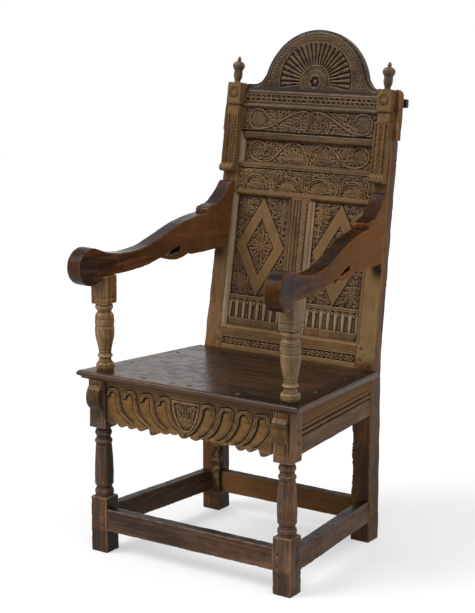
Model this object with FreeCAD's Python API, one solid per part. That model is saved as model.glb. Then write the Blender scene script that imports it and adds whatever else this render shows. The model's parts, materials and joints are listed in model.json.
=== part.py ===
import FreeCAD, Part
import math
import os

# Carved joined oak armchair. Millimetres, +Z up, the chair faces -Y.
# While the pieces are made, y = 0 is the front face of the front legs.
# The last step moves the whole chair so that its origin is under its middle, on the floor.

# Floor plan of the frame
front_half = 283.0            # outer face of a front leg from the middle
leg_size = 47.0               # a front leg is square
rear_half_draw = 13.5         # how much further out a rear post is at the floor than at its top
post_front = 415.0            # front face of the posts under the seat
post_depth = 48.0

# Heights of the seat frame
seat_front_height = 446.6     # top of the seat at its front edge
seat_fall = 14.0              # how much lower the seat is where it meets the back
rail_drop = 124.6             # from the top of the seat to the lower edge of the rails under it
leg_block_overhang = 13.0     # of the top block of a leg below the rails
foot_block_top = 137.0

# Seat board
seat_thickness = 20.0
seat_side_overhang = 28.0     # of the board past the outer faces of the front legs
seat_rear_overhang = 15.0     # of the board past the outer faces of the rear posts
seat_nose = 14.0              # how far the board stands out in front of the legs
nosing_height = 13.0
nosing_setback = 8.0
nosing_round = 6.0
nosing_under_round = 3.0

# Back
back_front = 424.0            # front face of the posts where the back starts to lean
back_slope_share = 0.168      # how far the back leans for each unit of height
back_length = 670.0           # along the lean, from the seat to the top of the crest rail
back_thickness = 33.5
post_top_half = 234.5         # outer face of a post at the top of the back
post_top_width = 38.5

half_turn = 180.0
full_turn = 360.0

# Joints
tenon_thickness = 9.0
tenon_length = 25.0
long_tenon_length = 30.0
tenon_shoulder = 6.0          # how much a tenon is lower than its rail at the top and the bottom
tenon_setback = 8.0           # from the outer face of a rail to its tenon
fit_gap = 0.15                # clearance of a tenon or a peg in its hole, each side
seat_gap = 0.3                # clearance of the board to the posts
peg_radius = 3.5
peg_proud = 0.8
peg_inset = 12.0              # from the shoulder of a tenon to the peg through it
arm_peg_length = 32.0
over = 40.0                   # cutting tools run this far past what they cut

# Rails and stretchers
rail_thickness = 25.0
apron_setback = 3.0
side_rail_setback = 2.0
rear_rail_setback = 15.0
stretcher_thickness = 25.0
stretcher_setback = 2.5
front_stretcher_bottom = 55.0
front_stretcher_top = 110.0
side_stretcher_bottom = 52.0
side_stretcher_top = 106.0
rear_stretcher_bottom = 49.0
rear_stretcher_top = 104.0
rear_stretcher_setback = 10.0

# Scratch moulding on the side rails
scratch_radius = 3.0
scratch_low = 42.0            # from the bottom of the rail
scratch_high = 54.0

# Apron
tooth_count = 20
tooth_depth = 6.0
tooth_lean_share = 0.58
apron_band = 8.0              # height of the saw-tooth edge below the lobes
lobe_count = 4                # on each side of the shield
lobe_first_left = 65.0        # middle of the lobe nearest the shield
lobe_first_right = 58.0
lobe_pitch = 49.0
lobe_relief = 4.0
shield_half_width = 33.0
shield_top_drop = 20.0        # from the top of the rail to the top of the shield
shield_height = 68.0

# Corbels on the front legs
corbel_width = 36.0
corbel_height = 96.0
corbel_cap_height = 12.0
corbel_cap_depth = 8.0
corbel_bulge_depth = 20.0
corbel_waist_depth = 7.0
corbel_foot_depth = 3.0
gouge_count = 5
gouge_radius = 2.4

# Arm supports
support_y = 34.0              # axis of a support behind the face of the legs
support_block = 44.0
support_block_height = 67.0
support_tenon_radius = 9.0
support_tenon_length = 22.0
support_top_tenon = 24.0      # length of the tenon up into the arm
support_chamfer = 6.0

# Arms
arm_thickness = 40.0
arm_front_half = 268.0        # middle of an arm at its scroll
arm_reach = 66.0              # front of the scroll from the face of the legs
scroll_radius = 44.5

# Back: heights along the lean. The lower panels take up what the rails leave.
bottom_rail_top = 62.0
lunette_rail_height = 77.0
frieze_height = 84.0
scroll_rail_height = 61.0
muntin_half = 32.5
panel_thickness = 9.0
panel_recess = 8.0            # from the face of the rails to the face of a panel
panel_tongue = 7.0            # how far a panel runs into the grooves round it
opening_bevel = 7.0           # bevel on the arrises round the lower panels
moulding_width = 8.0
crest_rail_height = 51.0
crest_rail_drop = 8.0         # from the top of the posts to the top of the crest rail
crest_bevel = 11.0

# Carving that shows as form
lozenge_half_width = 72.0
lozenge_height_share = 0.373   # half its height, of the lower panels
lozenge_middle_share = 0.612   # height of its middle, of the lower panels
inner_half_width = 38.5
inner_height_share = 0.54    # half height of its middle, of its own half height
strap_relief = 3.0
null_bottom = 72.0
null_top = 128.0
null_count = 8
null_relief = 3.0
lunette_radius = 33.0
lunette_band = 6.0
lunette_rise = 19.0           # from the bottom of its rail to the foot of a lunette
lunette_count = 4
lunette_pitch = 93.5
carving_relief = 3.0
frieze_side_moulding = 14.0
frieze_top_moulding = 21.0
frieze_low_moulding = 10.0
frieze_bevel = 6.0
arch_radius = 40.0
arch_band = 7.0
ring_radius = 14.0
ring_band = 4.0
dentil_count = 30
dentil_height = 7.0
dentil_relief = 3.0
dentil_rows = 2
dentil_rise = 11.0
dentil_pitch = 11.0
crest_moulding_height = 10.0
crest_moulding_depth = 8.0

# Pediment
pediment_radius = 148.0
pediment_middle_drop = 8.0    # centre of its round, below the top of the posts
pediment_foot_half = 172.0
pediment_setback = 12.0
pediment_cove = 20.0
pediment_tongue_length = 30.0 # down behind the crest rail, from the top of the posts
fan_rise = 13.0
fan_radius = 103.0
fan_inner = 35.0
flute_count = 20
flute_depth = 4.0
flute_fill_share = 0.78
boss_radius = 6.0
roundel_relief = 4.0

# Blocks, ear strips and cheeks on the posts
block_depth = 20.0
block_let_in = 6.0
block_height = 54.0
neck_height = 26.0
neck_depth = 15.0
neck_setback = 3.0
ear_length_share = 0.24412       # of the height from the seat to the top of the strip
ear_clearance = 21.4          # from the top of an arm to the strip above it
ear_depth = 20.0
ear_roll_radius = 10.0
ear_roll_proud = 8.0
ear_flute_radius = 3.0
ear_flute_count = 3
cheek_thickness = 14.0
cheek_depth = 18.0
cheek_height = 121.0
cheek_rise = 2.0
cheek_round = 13.0
batten_height = 21.0
batten_drop = 17.0
batten_thickness = 9.0
batten_half = 250.0

# Finials
finial_height = 65.0
finial_axis_depth = 7.0       # in front of the face of the post
finial_dowel_radius = 5.0
finial_dowel_length = 16.0

# What follows is worked out from the sizes above
lean = math.atan(back_slope_share)
seat_run = back_front + seat_nose
seat_tilt = math.atan(seat_fall / seat_run)
seat_rear_height = seat_front_height - seat_fall
rail_bottom = seat_front_height - rail_drop
leg_block_bottom = rail_bottom - leg_block_overhang
post_inner = post_top_half - post_top_width
rear_half = post_top_half + rear_half_draw
leg_axis = front_half - leg_size / 2
seat_half_front = front_half + seat_side_overhang
seat_half_rear = rear_half + seat_rear_overhang
crest_rail_top = back_length - crest_rail_drop
scroll_rail_top = crest_rail_top - crest_rail_height
frieze_top = scroll_rail_top - scroll_rail_height
frieze_bottom = frieze_top - frieze_height
lunette_rail_bottom = frieze_bottom - lunette_rail_height
lower_panel_height = lunette_rail_bottom - bottom_rail_top
lozenge_half_height = lower_panel_height * lozenge_height_share
lozenge_middle = bottom_rail_top + lower_panel_height * lozenge_middle_share
inner_half_height = lozenge_half_height * inner_height_share
lunette_base = lunette_rail_bottom + lunette_rise
dentil_base = scroll_rail_top + dentil_rise
pediment_middle = back_length - pediment_middle_drop
fan_middle = back_length + fan_rise
pediment_rebate = back_length - pediment_tongue_length
block_bottom = back_length - block_height
neck_bottom = block_bottom - neck_height
ear_bottom = neck_bottom - neck_bottom * ear_length_share
arm_top_height = ear_bottom - ear_clearance
cheek_top = back_length + cheek_rise
cheek_bottom = cheek_top - cheek_height
batten_top = back_length - batten_drop
batten_bottom = batten_top - batten_height
leg_inner = front_half - leg_size


def vec(x, y, z):
    return FreeCAD.Vector(x, y, z)


def block(x0, x1, y0, y1, z0, z1):
    corner = vec(min(x0, x1), min(y0, y1), min(z0, z1))
    return Part.makeBox(abs(x1 - x0), abs(y1 - y0), abs(z1 - z0), corner)


def mirrored(shape):
    return shape.mirror(vec(0, 0, 0), vec(1, 0, 0))


def outline(steps):
    # Each step is ("to", point) or ("arc", middle, point). The first is the start, and it closes.
    edges = []
    here = steps[0][1]
    first = here
    for step in steps[1:]:
        end = step[-1]
        if step[0] == "arc":
            edges.append(Part.Arc(here, step[1], end).toShape())
        else:
            edges.append(Part.makeLine(here, end))
        here = end
    if here.distanceToPoint(first) > fit_gap / 10:
        edges.append(Part.makeLine(here, first))
    return Part.Face(Part.Wire(edges))


def polygon(points):
    return Part.Face(Part.makePolygon(points + [points[0]]))


def plan_prism(points, z0, z1):
    face = polygon([vec(x, y, z0) for x, y in points])
    return face.extrude(vec(0, 0, z1 - z0))


def side_prism(points, x0, x1):
    face = polygon([vec(x0, y, z) for y, z in points])
    return face.extrude(vec(x1 - x0, 0, 0))


def front_prism(points, y0, y1):
    face = polygon([vec(x, y0, z) for x, z in points])
    return face.extrude(vec(0, y1 - y0, 0))


def cylinder(radius, length, base, axis):
    return Part.makeCylinder(radius, length, base, axis)


def turned(x, y, rings):
    # rings: (height, radius) from the bottom up, straight, or with a bulge as a third value.
    points = [vec(radius, 0, z) for z, radius, bulge in rings]
    steps = [("to", vec(0, 0, rings[0][0])), ("to", points[0])]
    for index in range(1, len(rings)):
        low = points[index - 1]
        high = points[index]
        bulge = rings[index][2]
        if bulge:
            middle = (low + high) / 2 + vec(bulge, 0, 0)
            steps.append(("arc", middle, high))
        else:
            steps.append(("to", high))
    steps.append(("to", vec(0, 0, rings[-1][0])))
    solid = outline(steps).revolve(vec(0, 0, 0), vec(0, 0, 1), full_turn)
    solid.translate(vec(x, y, 0))
    return Part.Solid(solid) if solid.ShapeType != "Solid" else solid


def joined(pieces):
    whole = pieces[0]
    for piece in pieces[1:]:
        whole = whole.fuse(piece)
    return whole.removeSplitter()


def cut_all(shape, tools):
    for tool in tools:
        shape = shape.cut(tool)
    return shape


def leaned(shape):
    # From the frame of the back (x, depth behind its face, height along it) to the chair's frame.
    moved = shape.copy()
    moved.rotate(vec(0, 0, 0), vec(1, 0, 0), -math.degrees(lean))
    moved.translate(vec(0, back_front, seat_rear_height))
    return moved


def tilted(shape):
    # From a level frame, whose z = 0 is the underside of the board, to the fall of the seat.
    moved = shape.copy()
    moved.translate(vec(0, 0, -seat_thickness))
    moved.rotate(vec(0, 0, 0), vec(1, 0, 0), -math.degrees(seat_tilt))
    moved.translate(vec(0, -seat_nose, seat_front_height))
    return moved


above_frame = tilted(block(-seat_half_front - over, seat_half_front + over,
                           -over, seat_run + over * 2, 0, seat_front_height))


def under_seat(shape):
    return shape.cut(above_frame)


def seat_underside(y):
    # Height of the board's underside at a distance y behind the face of the legs.
    top = seat_front_height - (y + seat_nose) * math.tan(seat_tilt)
    return top - seat_thickness / math.cos(seat_tilt)


def post_outer(height):
    # Outer face of a post at a height along the lean.
    return rear_half - (rear_half - post_top_half) * height / back_length


rail_top = seat_underside(0) + over

# Side rails and stretchers run from the leg to the post, drawn in towards the back
side_front_y = leg_size
side_rear_y = post_front
side_run = side_rear_y - side_front_y
side_drift = (front_half - rear_half) / side_run


def side_x(y, inset):
    # A line along the right side, set in from the outer faces of leg and post.
    return front_half - inset - (y - side_front_y) * side_drift


def side_bar(setback, thickness, z0, z1, y0, y1):
    points = [(side_x(y0, setback), y0), (side_x(y1, setback), y1),
              (side_x(y1, setback + thickness), y1), (side_x(y0, setback + thickness), y0)]
    return plan_prism(points, z0, z1)


def side_tenon(setback, z0, z1, gap):
    inset = setback + tenon_setback - gap
    reach = tenon_length + gap
    return side_bar(inset, tenon_thickness + gap * 2, z0 - gap, z1 + gap,
                    side_front_y - reach, side_rear_y + reach)


def cross_tenon(half, reach, y_face, z0, z1, gap):
    y0 = y_face + tenon_setback - gap
    return block(-half - reach - gap, half + reach + gap, y0, y0 + tenon_thickness + gap * 2,
                 z0 - gap, z1 + gap)


# Tenons of the lower frame, each used for the rail (no gap) and for its mortises (with the gap)
rail_tenon_low = rail_bottom + tenon_shoulder
rail_tenon_high = seat_underside(post_front) - support_tenon_length - tenon_shoulder
rear_rail_face = post_front + rear_rail_setback
rear_stretcher_face = post_front + rear_stretcher_setback


def apron_tenon(gap):
    return cross_tenon(leg_inner, long_tenon_length, apron_setback, rail_tenon_low, rail_tenon_high, gap)


def front_stretcher_tenon(gap):
    return cross_tenon(leg_inner, long_tenon_length, stretcher_setback,
                       front_stretcher_bottom + tenon_shoulder, front_stretcher_top - tenon_shoulder, gap)


def rear_rail_tenon(gap):
    return cross_tenon(post_inner, tenon_length, rear_rail_face, rail_tenon_low, rail_tenon_high, gap)


def rear_stretcher_tenon(gap):
    return cross_tenon(post_inner, tenon_length, rear_stretcher_face,
                       rear_stretcher_bottom + tenon_shoulder, rear_stretcher_top - tenon_shoulder, gap)


def side_rail_tenon(gap):
    return side_tenon(side_rail_setback, rail_tenon_low, rail_tenon_high, gap)


def side_stretcher_tenon(gap):
    return side_tenon(side_rail_setback, side_stretcher_bottom + tenon_shoulder,
                      side_stretcher_top - tenon_shoulder, gap)


# Pegs of the lower frame
def peg(base, axis, length, gap):
    return cylinder(peg_radius + gap, length, base, axis)


def peg_pair_heights(low, high):
    span = high - low
    return [low + span / 4, high - span / 4]


def front_peg_places():
    places = []
    for low, high in ((rail_tenon_low, rail_tenon_high), (front_stretcher_bottom, front_stretcher_top)):
        for z in peg_pair_heights(low, high):
            places.append((leg_inner + peg_inset, z))
    return places


def front_pegs(gap):
    # Those behind the corbels are flush.
    length = leg_size / 2 + apron_setback
    pegs = []
    for x, z in front_peg_places():
        proud = 0 if z > rail_bottom else peg_proud
        pegs.append(peg(vec(x, -proud, z), vec(0, 1, 0), length + proud + gap, gap))
    return pegs


def side_pegs(gap):
    pegs = []
    for low, high in ((rail_tenon_low, rail_tenon_high), (side_stretcher_bottom, side_stretcher_top)):
        for z in peg_pair_heights(low, high):
            for y in (side_front_y - peg_inset, side_rear_y + peg_inset):
                outer = front_half if y < side_front_y else rear_half
                start = vec(outer + peg_proud, y, z + tenon_thickness)
                pegs.append(peg(start, vec(-1, 0, 0), leg_size / 2 + peg_proud + gap, gap))
    return pegs


def rear_pegs(gap):
    pegs = []
    rear = post_front + post_depth
    for low, high in ((rail_tenon_low, rail_tenon_high), (rear_stretcher_bottom, rear_stretcher_top)):
        for z in peg_pair_heights(low, high):
            start = vec(post_inner + peg_inset, rear + peg_proud, z)
            pegs.append(peg(start, vec(0, -1, 0), post_depth * 3 / 4 + peg_proud + gap, gap))
    return pegs


# Arm supports
def support_tenon(gap):
    base = vec(leg_axis, support_y, seat_underside(support_y) - support_tenon_length - gap)
    return cylinder(support_tenon_radius + gap, support_tenon_length * 2 + gap, base, vec(0, 0, 1))


# Outline of an arm from the side: (share of its run from the scroll's centre to the post,
# rise above the scroll's centre as a share of the scroll's radius). "arc" goes through its first
# point to its second.
arm_under_shares = [
    ("to", (0.068, -0.607)),
    ("to", (0.160, -0.607)),
    ("arc", (0.289, -0.565), (0.400, -0.430)),
    ("to", (0.490, -0.185)),
    ("arc", (0.588, -0.470), (0.680, -0.290)),
    ("to", (0.694, -0.180)),
    ("to", (0.712, -0.350)),
    ("to", (0.994, -0.300)),
]
arm_top_shares = [
    ("to", (1.026, 3.40)),
    ("arc", (0.985, 2.86), (0.925, 2.33)),
    ("to", (0.910, 2.24)),
    ("arc", (0.872, 2.18), (0.842, 2.08)),
    ("to", (0.838, 1.98)),
    ("to", (0.838, 1.81)),
    ("arc", (0.737, 1.70), (0.625, 1.46)),
    ("arc", (0.515, 1.05), (0.400, 0.62)),
    ("arc", (0.260, 0.44), (0.110, 0.62)),
]
scroll_chin_share = 0.62      # where the underside leaves the scroll, of its radius behind its centre
scroll_brow_share = 0.42
slot_tip_share = (0.516, -0.15)
slot_end_share = (0.616, 0.10)
slot_radius = 6.0
slot_tip_radius = 1.5
arm_seat_share = 0.607     # the flat under the arm that the support carries, below the scroll's centre
scroll_height = seat_rear_height + arm_top_height * math.cos(lean) - scroll_radius * arm_top_shares[0][1][1]
arm_seat_height = scroll_height - scroll_radius * arm_seat_share
support_block_bottom = arm_seat_height - support_block_height
arm_rear_y = back_front + (scroll_height - seat_rear_height) * back_slope_share
arm_rear_half = post_outer((scroll_height - seat_rear_height) / math.cos(lean)) - arm_thickness / 2
scroll_y = scroll_radius - arm_reach
arm_run = arm_rear_y - scroll_y
arm_splay = math.atan((arm_front_half - arm_rear_half) / arm_run)


def splayed(shape):
    # From a frame whose x = 0 is the middle of the arm, to its place on the right of the chair.
    moved = shape.copy()
    moved.rotate(vec(0, arm_rear_y, 0), vec(0, 0, 1), math.degrees(arm_splay))
    moved.translate(vec(arm_rear_half, 0, 0))
    return moved


def arm_point(place):
    run_share, rise_share = place
    return vec(0, scroll_y + arm_run * run_share, scroll_height + scroll_radius * rise_share)


def scroll_point(back_share, up):
    # A point of the scroll's round, by how far behind its centre it is.
    rise = math.sqrt(1 - back_share ** 2) * up
    return vec(0, scroll_y + scroll_radius * back_share, scroll_height + scroll_radius * rise)


def steps_from(table):
    return [(step[0],) + tuple(arm_point(place) for place in step[1:]) for step in table]


def arm_face():
    chin = scroll_point(scroll_chin_share, -1)
    brow = scroll_point(scroll_brow_share, 1)
    nose = scroll_point(-1, 1)
    last_under = arm_under_shares[-1][-1]
    first_top = arm_top_shares[0][-1]
    steps = [("to", brow), ("arc", nose, chin)]
    steps += steps_from(arm_under_shares)
    steps.append(("to", arm_point((last_under[0] + arm_end_share, last_under[1]))))
    steps.append(("to", arm_point((first_top[0] + arm_end_share, first_top[1]))))
    steps += steps_from(arm_top_shares)
    return outline(steps)


# The arm runs past the face of the post and is cut to it, this much of its run
arm_end_share = 0.08
arm_tenon_width = 12.0
arm_tenon_low_share = -0.25   # bottom and top of the tenon into the post, of the scroll's radius
arm_tenon_high_share = 1.0


def arm_tenon(gap):
    z0 = scroll_height + scroll_radius * arm_tenon_low_share
    z1 = scroll_height + scroll_radius * arm_tenon_high_share
    half = arm_tenon_width / 2 + gap
    tenon = block(-half, half, arm_rear_y - tenon_length, arm_rear_y + tenon_length + gap, z0 - gap, z1 + gap)
    return splayed(tenon)


def arm_peg(gap):
    z = scroll_height + scroll_radius * (arm_tenon_low_share + arm_tenon_high_share) / 2
    height = (z - seat_rear_height) / math.cos(lean)
    start = vec(post_outer(height) + peg_proud, arm_rear_y + peg_inset, z)
    return peg(start, vec(-1, 0, 0), arm_peg_length + peg_proud + gap, gap)


def support_top_dowel(gap):
    base = vec(leg_axis, support_y, arm_seat_height - support_top_tenon)
    return cylinder(support_tenon_radius + gap, support_top_tenon * 2 + gap, base, vec(0, 0, 1))


def make_arm():
    face = arm_face()
    face.translate(vec(-arm_thickness / 2, 0, 0))
    arm = face.extrude(vec(arm_thickness, 0, 0))
    tip = arm_point(slot_tip_share)
    end = arm_point(slot_end_share)
    across = vec(0, -(end.z - tip.z), end.y - tip.y).normalize()
    corners = [tip + across * slot_tip_radius, end + across * slot_radius,
               end - across * slot_radius, tip - across * slot_tip_radius]
    slot = side_prism([(p.y, p.z) for p in corners], -arm_thickness, arm_thickness)
    hole = cylinder(slot_radius, arm_thickness * 2, vec(-arm_thickness, end.y, end.z), vec(1, 0, 0))
    arm = splayed(arm.cut(slot.fuse(hole)))
    behind_face = leaned(block(-over, seat_half_front + over, 0, over * 2, 0, back_length))
    arm = arm.cut(behind_face).fuse(arm_tenon(0))
    half = support_block / 2
    seat = block(leg_axis - half - over, leg_axis + half + over, support_y - half, support_y + half,
                 arm_seat_height - scroll_radius, arm_seat_height)
    return cut_all(arm, [seat, support_top_dowel(fit_gap), arm_peg(fit_gap)])


# Turned pieces: (share of the height, share of the radius, bulge to it as a share of the radius)
support_ring_shares = [
    (0.000, 0.90, 0), (0.025, 0.94, 0), (0.112, 0.87, 0.09), (0.124, 0.78, 0), (0.174, 0.64, -0.05),
    (0.193, 0.67, 0), (0.236, 0.67, 0.14), (0.248, 0.66, 0), (0.280, 0.66, 0), (0.484, 0.93, -0.02),
    (0.590, 1.00, 0.01), (0.652, 1.00, 0), (0.660, 0.93, 0), (0.677, 0.93, 0), (0.683, 1.00, 0),
    (0.826, 0.97, 0.02), (0.857, 0.80, 0.03), (0.888, 0.74, -0.03), (0.907, 0.82, 0),
    (0.981, 0.88, 0.10), (1.000, 0.85, 0),
]
leg_ring_shares = [
    (0.000, 0.86, 0), (0.023, 0.90, 0), (0.105, 0.90, 0.08), (0.122, 0.80, 0), (0.151, 0.80, 0),
    (0.163, 0.90, 0), (0.227, 0.93, 0.06), (0.244, 0.96, 0), (0.401, 0.97, 0.01), (0.738, 0.83, 0.02),
    (0.750, 0.79, 0), (0.765, 0.79, 0), (0.820, 0.80, 0.13), (0.831, 0.76, 0), (0.872, 0.74, -0.02),
    (0.884, 0.80, 0), (0.948, 0.80, 0.08), (0.965, 0.74, 0), (1.000, 0.90, -0.05),
]
finial_ring_shares = [
    (0.000, 0.50, 0), (0.090, 0.47, 0), (0.120, 0.52, 0), (0.340, 0.70, 0.07), (0.460, 0.66, 0),
    (0.500, 0.72, 0), (0.680, 0.95, 0.10), (0.800, 0.55, 0.09), (0.830, 0.30, 0), (0.860, 0.22, 0),
    (0.880, 0.34, 0), (0.920, 0.34, 0.03), (0.940, 0.18, 0), (1.000, 0.10, 0.08),
]
support_radius = 23.0
finial_radius = 16.0


def rings_from(table, low, high, radius):
    span = high - low
    return [(low + span * share, radius * size, radius * bulge) for share, size, bulge in table]


def make_support():
    low = seat_front_height - (support_y + seat_nose) * math.tan(seat_tilt)
    rings = rings_from(support_ring_shares, low, support_block_bottom, support_radius)
    below = [(low - support_tenon_length, rings[0][1], 0)]
    shaft = turned(leg_axis, support_y, below + rings)
    board = tilted(block(-seat_half_front, seat_half_front, 0, seat_run, -over, seat_thickness))
    half = support_block / 2
    head = block(leg_axis - half, leg_axis + half, support_y - half, support_y + half,
                 support_block_bottom, arm_seat_height)
    upright = [edge for edge in head.Edges
               if abs(edge.Vertexes[0].Z - edge.Vertexes[-1].Z) > half
               and edge.CenterOfMass.x < leg_axis and edge.CenterOfMass.y < support_y]
    head = head.makeChamfer(support_chamfer, upright)
    return joined([shaft.cut(board), head, support_tenon(0), support_top_dowel(0)])


def make_front_leg():
    top = block(leg_inner, front_half, 0, leg_size, leg_block_bottom, rail_top)
    foot = block(leg_inner, front_half, 0, leg_size, 0, foot_block_top)
    rings = rings_from(leg_ring_shares, foot_block_top, leg_block_bottom, leg_size / 2)
    leg = joined([under_seat(top), turned(leg_axis, leg_size / 2, rings), foot])
    holes = [apron_tenon(fit_gap), front_stretcher_tenon(fit_gap), side_rail_tenon(fit_gap),
             side_stretcher_tenon(fit_gap), support_tenon(fit_gap)]
    return cut_all(leg, holes + front_pegs(fit_gap) + side_pegs(fit_gap) + seat_pegs(fit_gap))


# Rails of the back, as (bottom, top) along the lean
def back_tenon(low, high, gap):
    # The tenons at both ends of a rail, in the frame of the back.
    reach = tenon_length + gap
    return block(-post_inner - reach, post_inner + reach, tenon_setback - gap,
                 tenon_setback + tenon_thickness + gap, low + tenon_shoulder - gap,
                 high - tenon_shoulder + gap)


back_rails = {
    "back_bottom_rail": (tenon_shoulder, bottom_rail_top),
    "lunette_rail": (lunette_rail_bottom, frieze_bottom),
    "scroll_rail": (frieze_top, scroll_rail_top),
    "crest_rail": (scroll_rail_top, crest_rail_top),
}


def back_peg_places():
    places = []
    for low, high in back_rails.values():
        for height in peg_pair_heights(low, high):
            places.append((post_inner + peg_inset, height))
    return places


def back_pegs(gap):
    # From the arms up, the pegs are covered and end flush with the post.
    pegs = []
    for x, height in back_peg_places():
        start = -peg_proud
        if height > lunette_rail_bottom:
            start = 0
        if height > block_bottom:
            start = block_let_in
        end = back_thickness * 3 / 4 + gap
        pegs.append(leaned(peg(vec(x, start, height), vec(0, 1, 0), end - start, gap)))
    return pegs


def panel_slot(gap):
    # The edges of the three panels, which run into the grooves round them.
    y0 = panel_recess - gap
    y1 = panel_recess + panel_thickness + gap
    tongue = panel_tongue + gap
    lower = block(-post_inner - tongue, post_inner + tongue, y0, y1,
                  bottom_rail_top - tongue, lunette_rail_bottom + tongue)
    frieze = block(-post_inner - tongue, post_inner + tongue, y0, y1,
                   frieze_bottom - tongue, frieze_top + tongue)
    return lower, frieze


def make_rear_post():
    slope = back_slope_share
    rear = post_front + post_depth
    deep = back_thickness / math.cos(lean)
    bend = seat_rear_height + (rear - back_front - deep) / slope
    top_z = seat_rear_height + back_length * math.cos(lean)
    top_y = back_front + back_length * math.sin(lean)
    back_y = back_thickness * math.cos(lean)
    back_z = back_thickness * math.sin(lean)
    ledge = seat_underside(back_front)
    profile = [(post_front, 0), (rear, 0), (rear, bend), (top_y + back_y, top_z - back_z),
               (top_y, top_z), (back_front, seat_rear_height), (back_front, ledge), (post_front, ledge)]
    post = side_prism(profile, post_inner, rear_half)
    past = back_length + over
    wedge = front_prism([(rear_half, 0), (rear_half + over, 0), (rear_half + over, past),
                         (post_outer(past), past)], -over, back_thickness + over)
    let_in = block(post_inner - over, rear_half + over, -over, block_let_in, block_bottom, past)
    lower, frieze = panel_slot(seat_gap)
    tools = [leaned(wedge), leaned(let_in), leaned(lower), leaned(frieze),
             leaned(opening_funnel(muntin_half, post_inner))]
    tools += [leaned(back_tenon(low, high, fit_gap)) for low, high in back_rails.values()]
    tools += [side_rail_tenon(fit_gap), side_stretcher_tenon(fit_gap), rear_rail_tenon(fit_gap),
              rear_stretcher_tenon(fit_gap), arm_tenon(fit_gap), arm_peg(fit_gap)]
    return cut_all(post, tools + side_pegs(fit_gap) + rear_pegs(fit_gap) + back_pegs(fit_gap))


# Seat board and its pegs
seat_peg_radius = 4.0
seat_peg_length = 44.0
seat_peg_x_share = 0.55       # of the inner face of the legs, for the pegs into the apron
seat_peg_side_shares = (0.25, 0.70)


def seat_peg_places():
    middle = apron_setback + rail_thickness / 2
    places = [(0, middle), (leg_inner * seat_peg_x_share, middle)]
    for share in seat_peg_side_shares:
        y = side_front_y + side_run * share
        places.append((side_x(y, side_rail_setback + rail_thickness / 2), y))
    return places


def seat_pegs(gap):
    pegs = []
    for x, y in seat_peg_places():
        top = seat_front_height - (y + seat_nose) * math.tan(seat_tilt) + peg_proud / 2
        length = seat_peg_length + gap
        pegs.append(cylinder(seat_peg_radius + gap, length, vec(x, y, top), vec(0, 0, -1)))
    return pegs


def both_sides(shapes):
    # Each shape and its mirror image, but only once if it stands in the middle.
    every = []
    for shape in shapes:
        every.append(shape)
        if abs(shape.BoundBox.Center.x) > peg_radius:
            every.append(mirrored(shape))
    return every


def make_seat():
    rear = seat_run - seat_gap
    draw = (seat_half_front - seat_half_rear) / seat_run

    def plan(inset):
        half = seat_half_front - inset * (1 + draw)
        rear_half_width = seat_half_front - inset - rear * draw
        return [(-half, inset), (half, inset), (rear_half_width, rear), (-rear_half_width, rear)]

    low = plan_prism(plan(nosing_setback), 0, seat_thickness - nosing_height)
    high = plan_prism(plan(0), seat_thickness - nosing_height, seat_thickness)

    def moulded(z):
        # The front and side edges at a height, not the one against the back.
        return [edge for edge in high.Edges
                if abs(edge.Vertexes[0].Z - z) < nosing_under_round
                and abs(edge.Vertexes[-1].Z - z) < nosing_under_round
                and edge.CenterOfMass.y < rear - nosing_setback]

    high = high.makeFillet(nosing_round, moulded(seat_thickness))
    high = high.makeFillet(nosing_under_round, moulded(seat_thickness - nosing_height))
    board = tilted(low.fuse(high).removeSplitter())
    tools = both_sides([support_tenon(fit_gap)] + seat_pegs(fit_gap))
    return cut_all(board, tools)


# Apron
lobe_hook_radius = 20.0
lobe_band = 7.0
lobe_tail_radius = 59.0
lobe_top_drop = 37.0          # from the top of the rail to the middle of a lobe's hook
lobe_tail_angle = 72.0


def ring_sector(x, z, inner, outer, start, sweep, y0, y1):
    # Part of a flat ring in the plane of a rail, by angles from +X towards +Z.
    def at(radius, angle):
        turn = math.radians(angle)
        return vec(x + radius * math.cos(turn), y0, z + radius * math.sin(turn))

    end = start + sweep
    middle = start + sweep / 2
    steps = [("to", at(inner, start)), ("to", at(outer, start)), ("arc", at(outer, middle), at(outer, end)),
             ("to", at(inner, end)), ("arc", at(inner, middle), at(inner, start))]
    return outline(steps).extrude(vec(0, y1 - y0, 0))


def apron_lobe(x, z, side):
    # One lobe's ridge: an arch, with a tail from its right foot that sweeps towards the middle.
    front = apron_setback + lobe_relief
    inner = lobe_tail_radius - lobe_band
    arch = ring_sector(x, z, lobe_hook_radius - lobe_band, lobe_hook_radius, 0, half_turn, 0, front)
    if side < 0:
        tail_x = x + lobe_hook_radius + inner
        tail = ring_sector(tail_x, z, inner, lobe_tail_radius, half_turn, lobe_tail_angle, 0, front)
    else:
        tail_x = x + lobe_hook_radius - lobe_tail_radius
        tail = ring_sector(tail_x, z, inner, lobe_tail_radius, 0, -lobe_tail_angle, 0, front)
    return arch.fuse(tail)


def apron_outline():
    # The bottom edge is a row of rounded bumps with notches between.
    pitch = 2 * leg_inner / tooth_count
    notch = rail_bottom + tooth_depth
    steps = [("to", vec(-leg_inner, apron_setback, notch)), ("to", vec(-leg_inner, apron_setback, rail_top)),
             ("to", vec(leg_inner, apron_setback, rail_top)), ("to", vec(leg_inner, apron_setback, notch))]
    for index in range(tooth_count):
        x = leg_inner - pitch * index
        steps.append(("arc", vec(x - pitch * tooth_lean_share, apron_setback, rail_bottom),
                      vec(x - pitch, apron_setback, notch)))
    return outline(steps)


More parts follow.
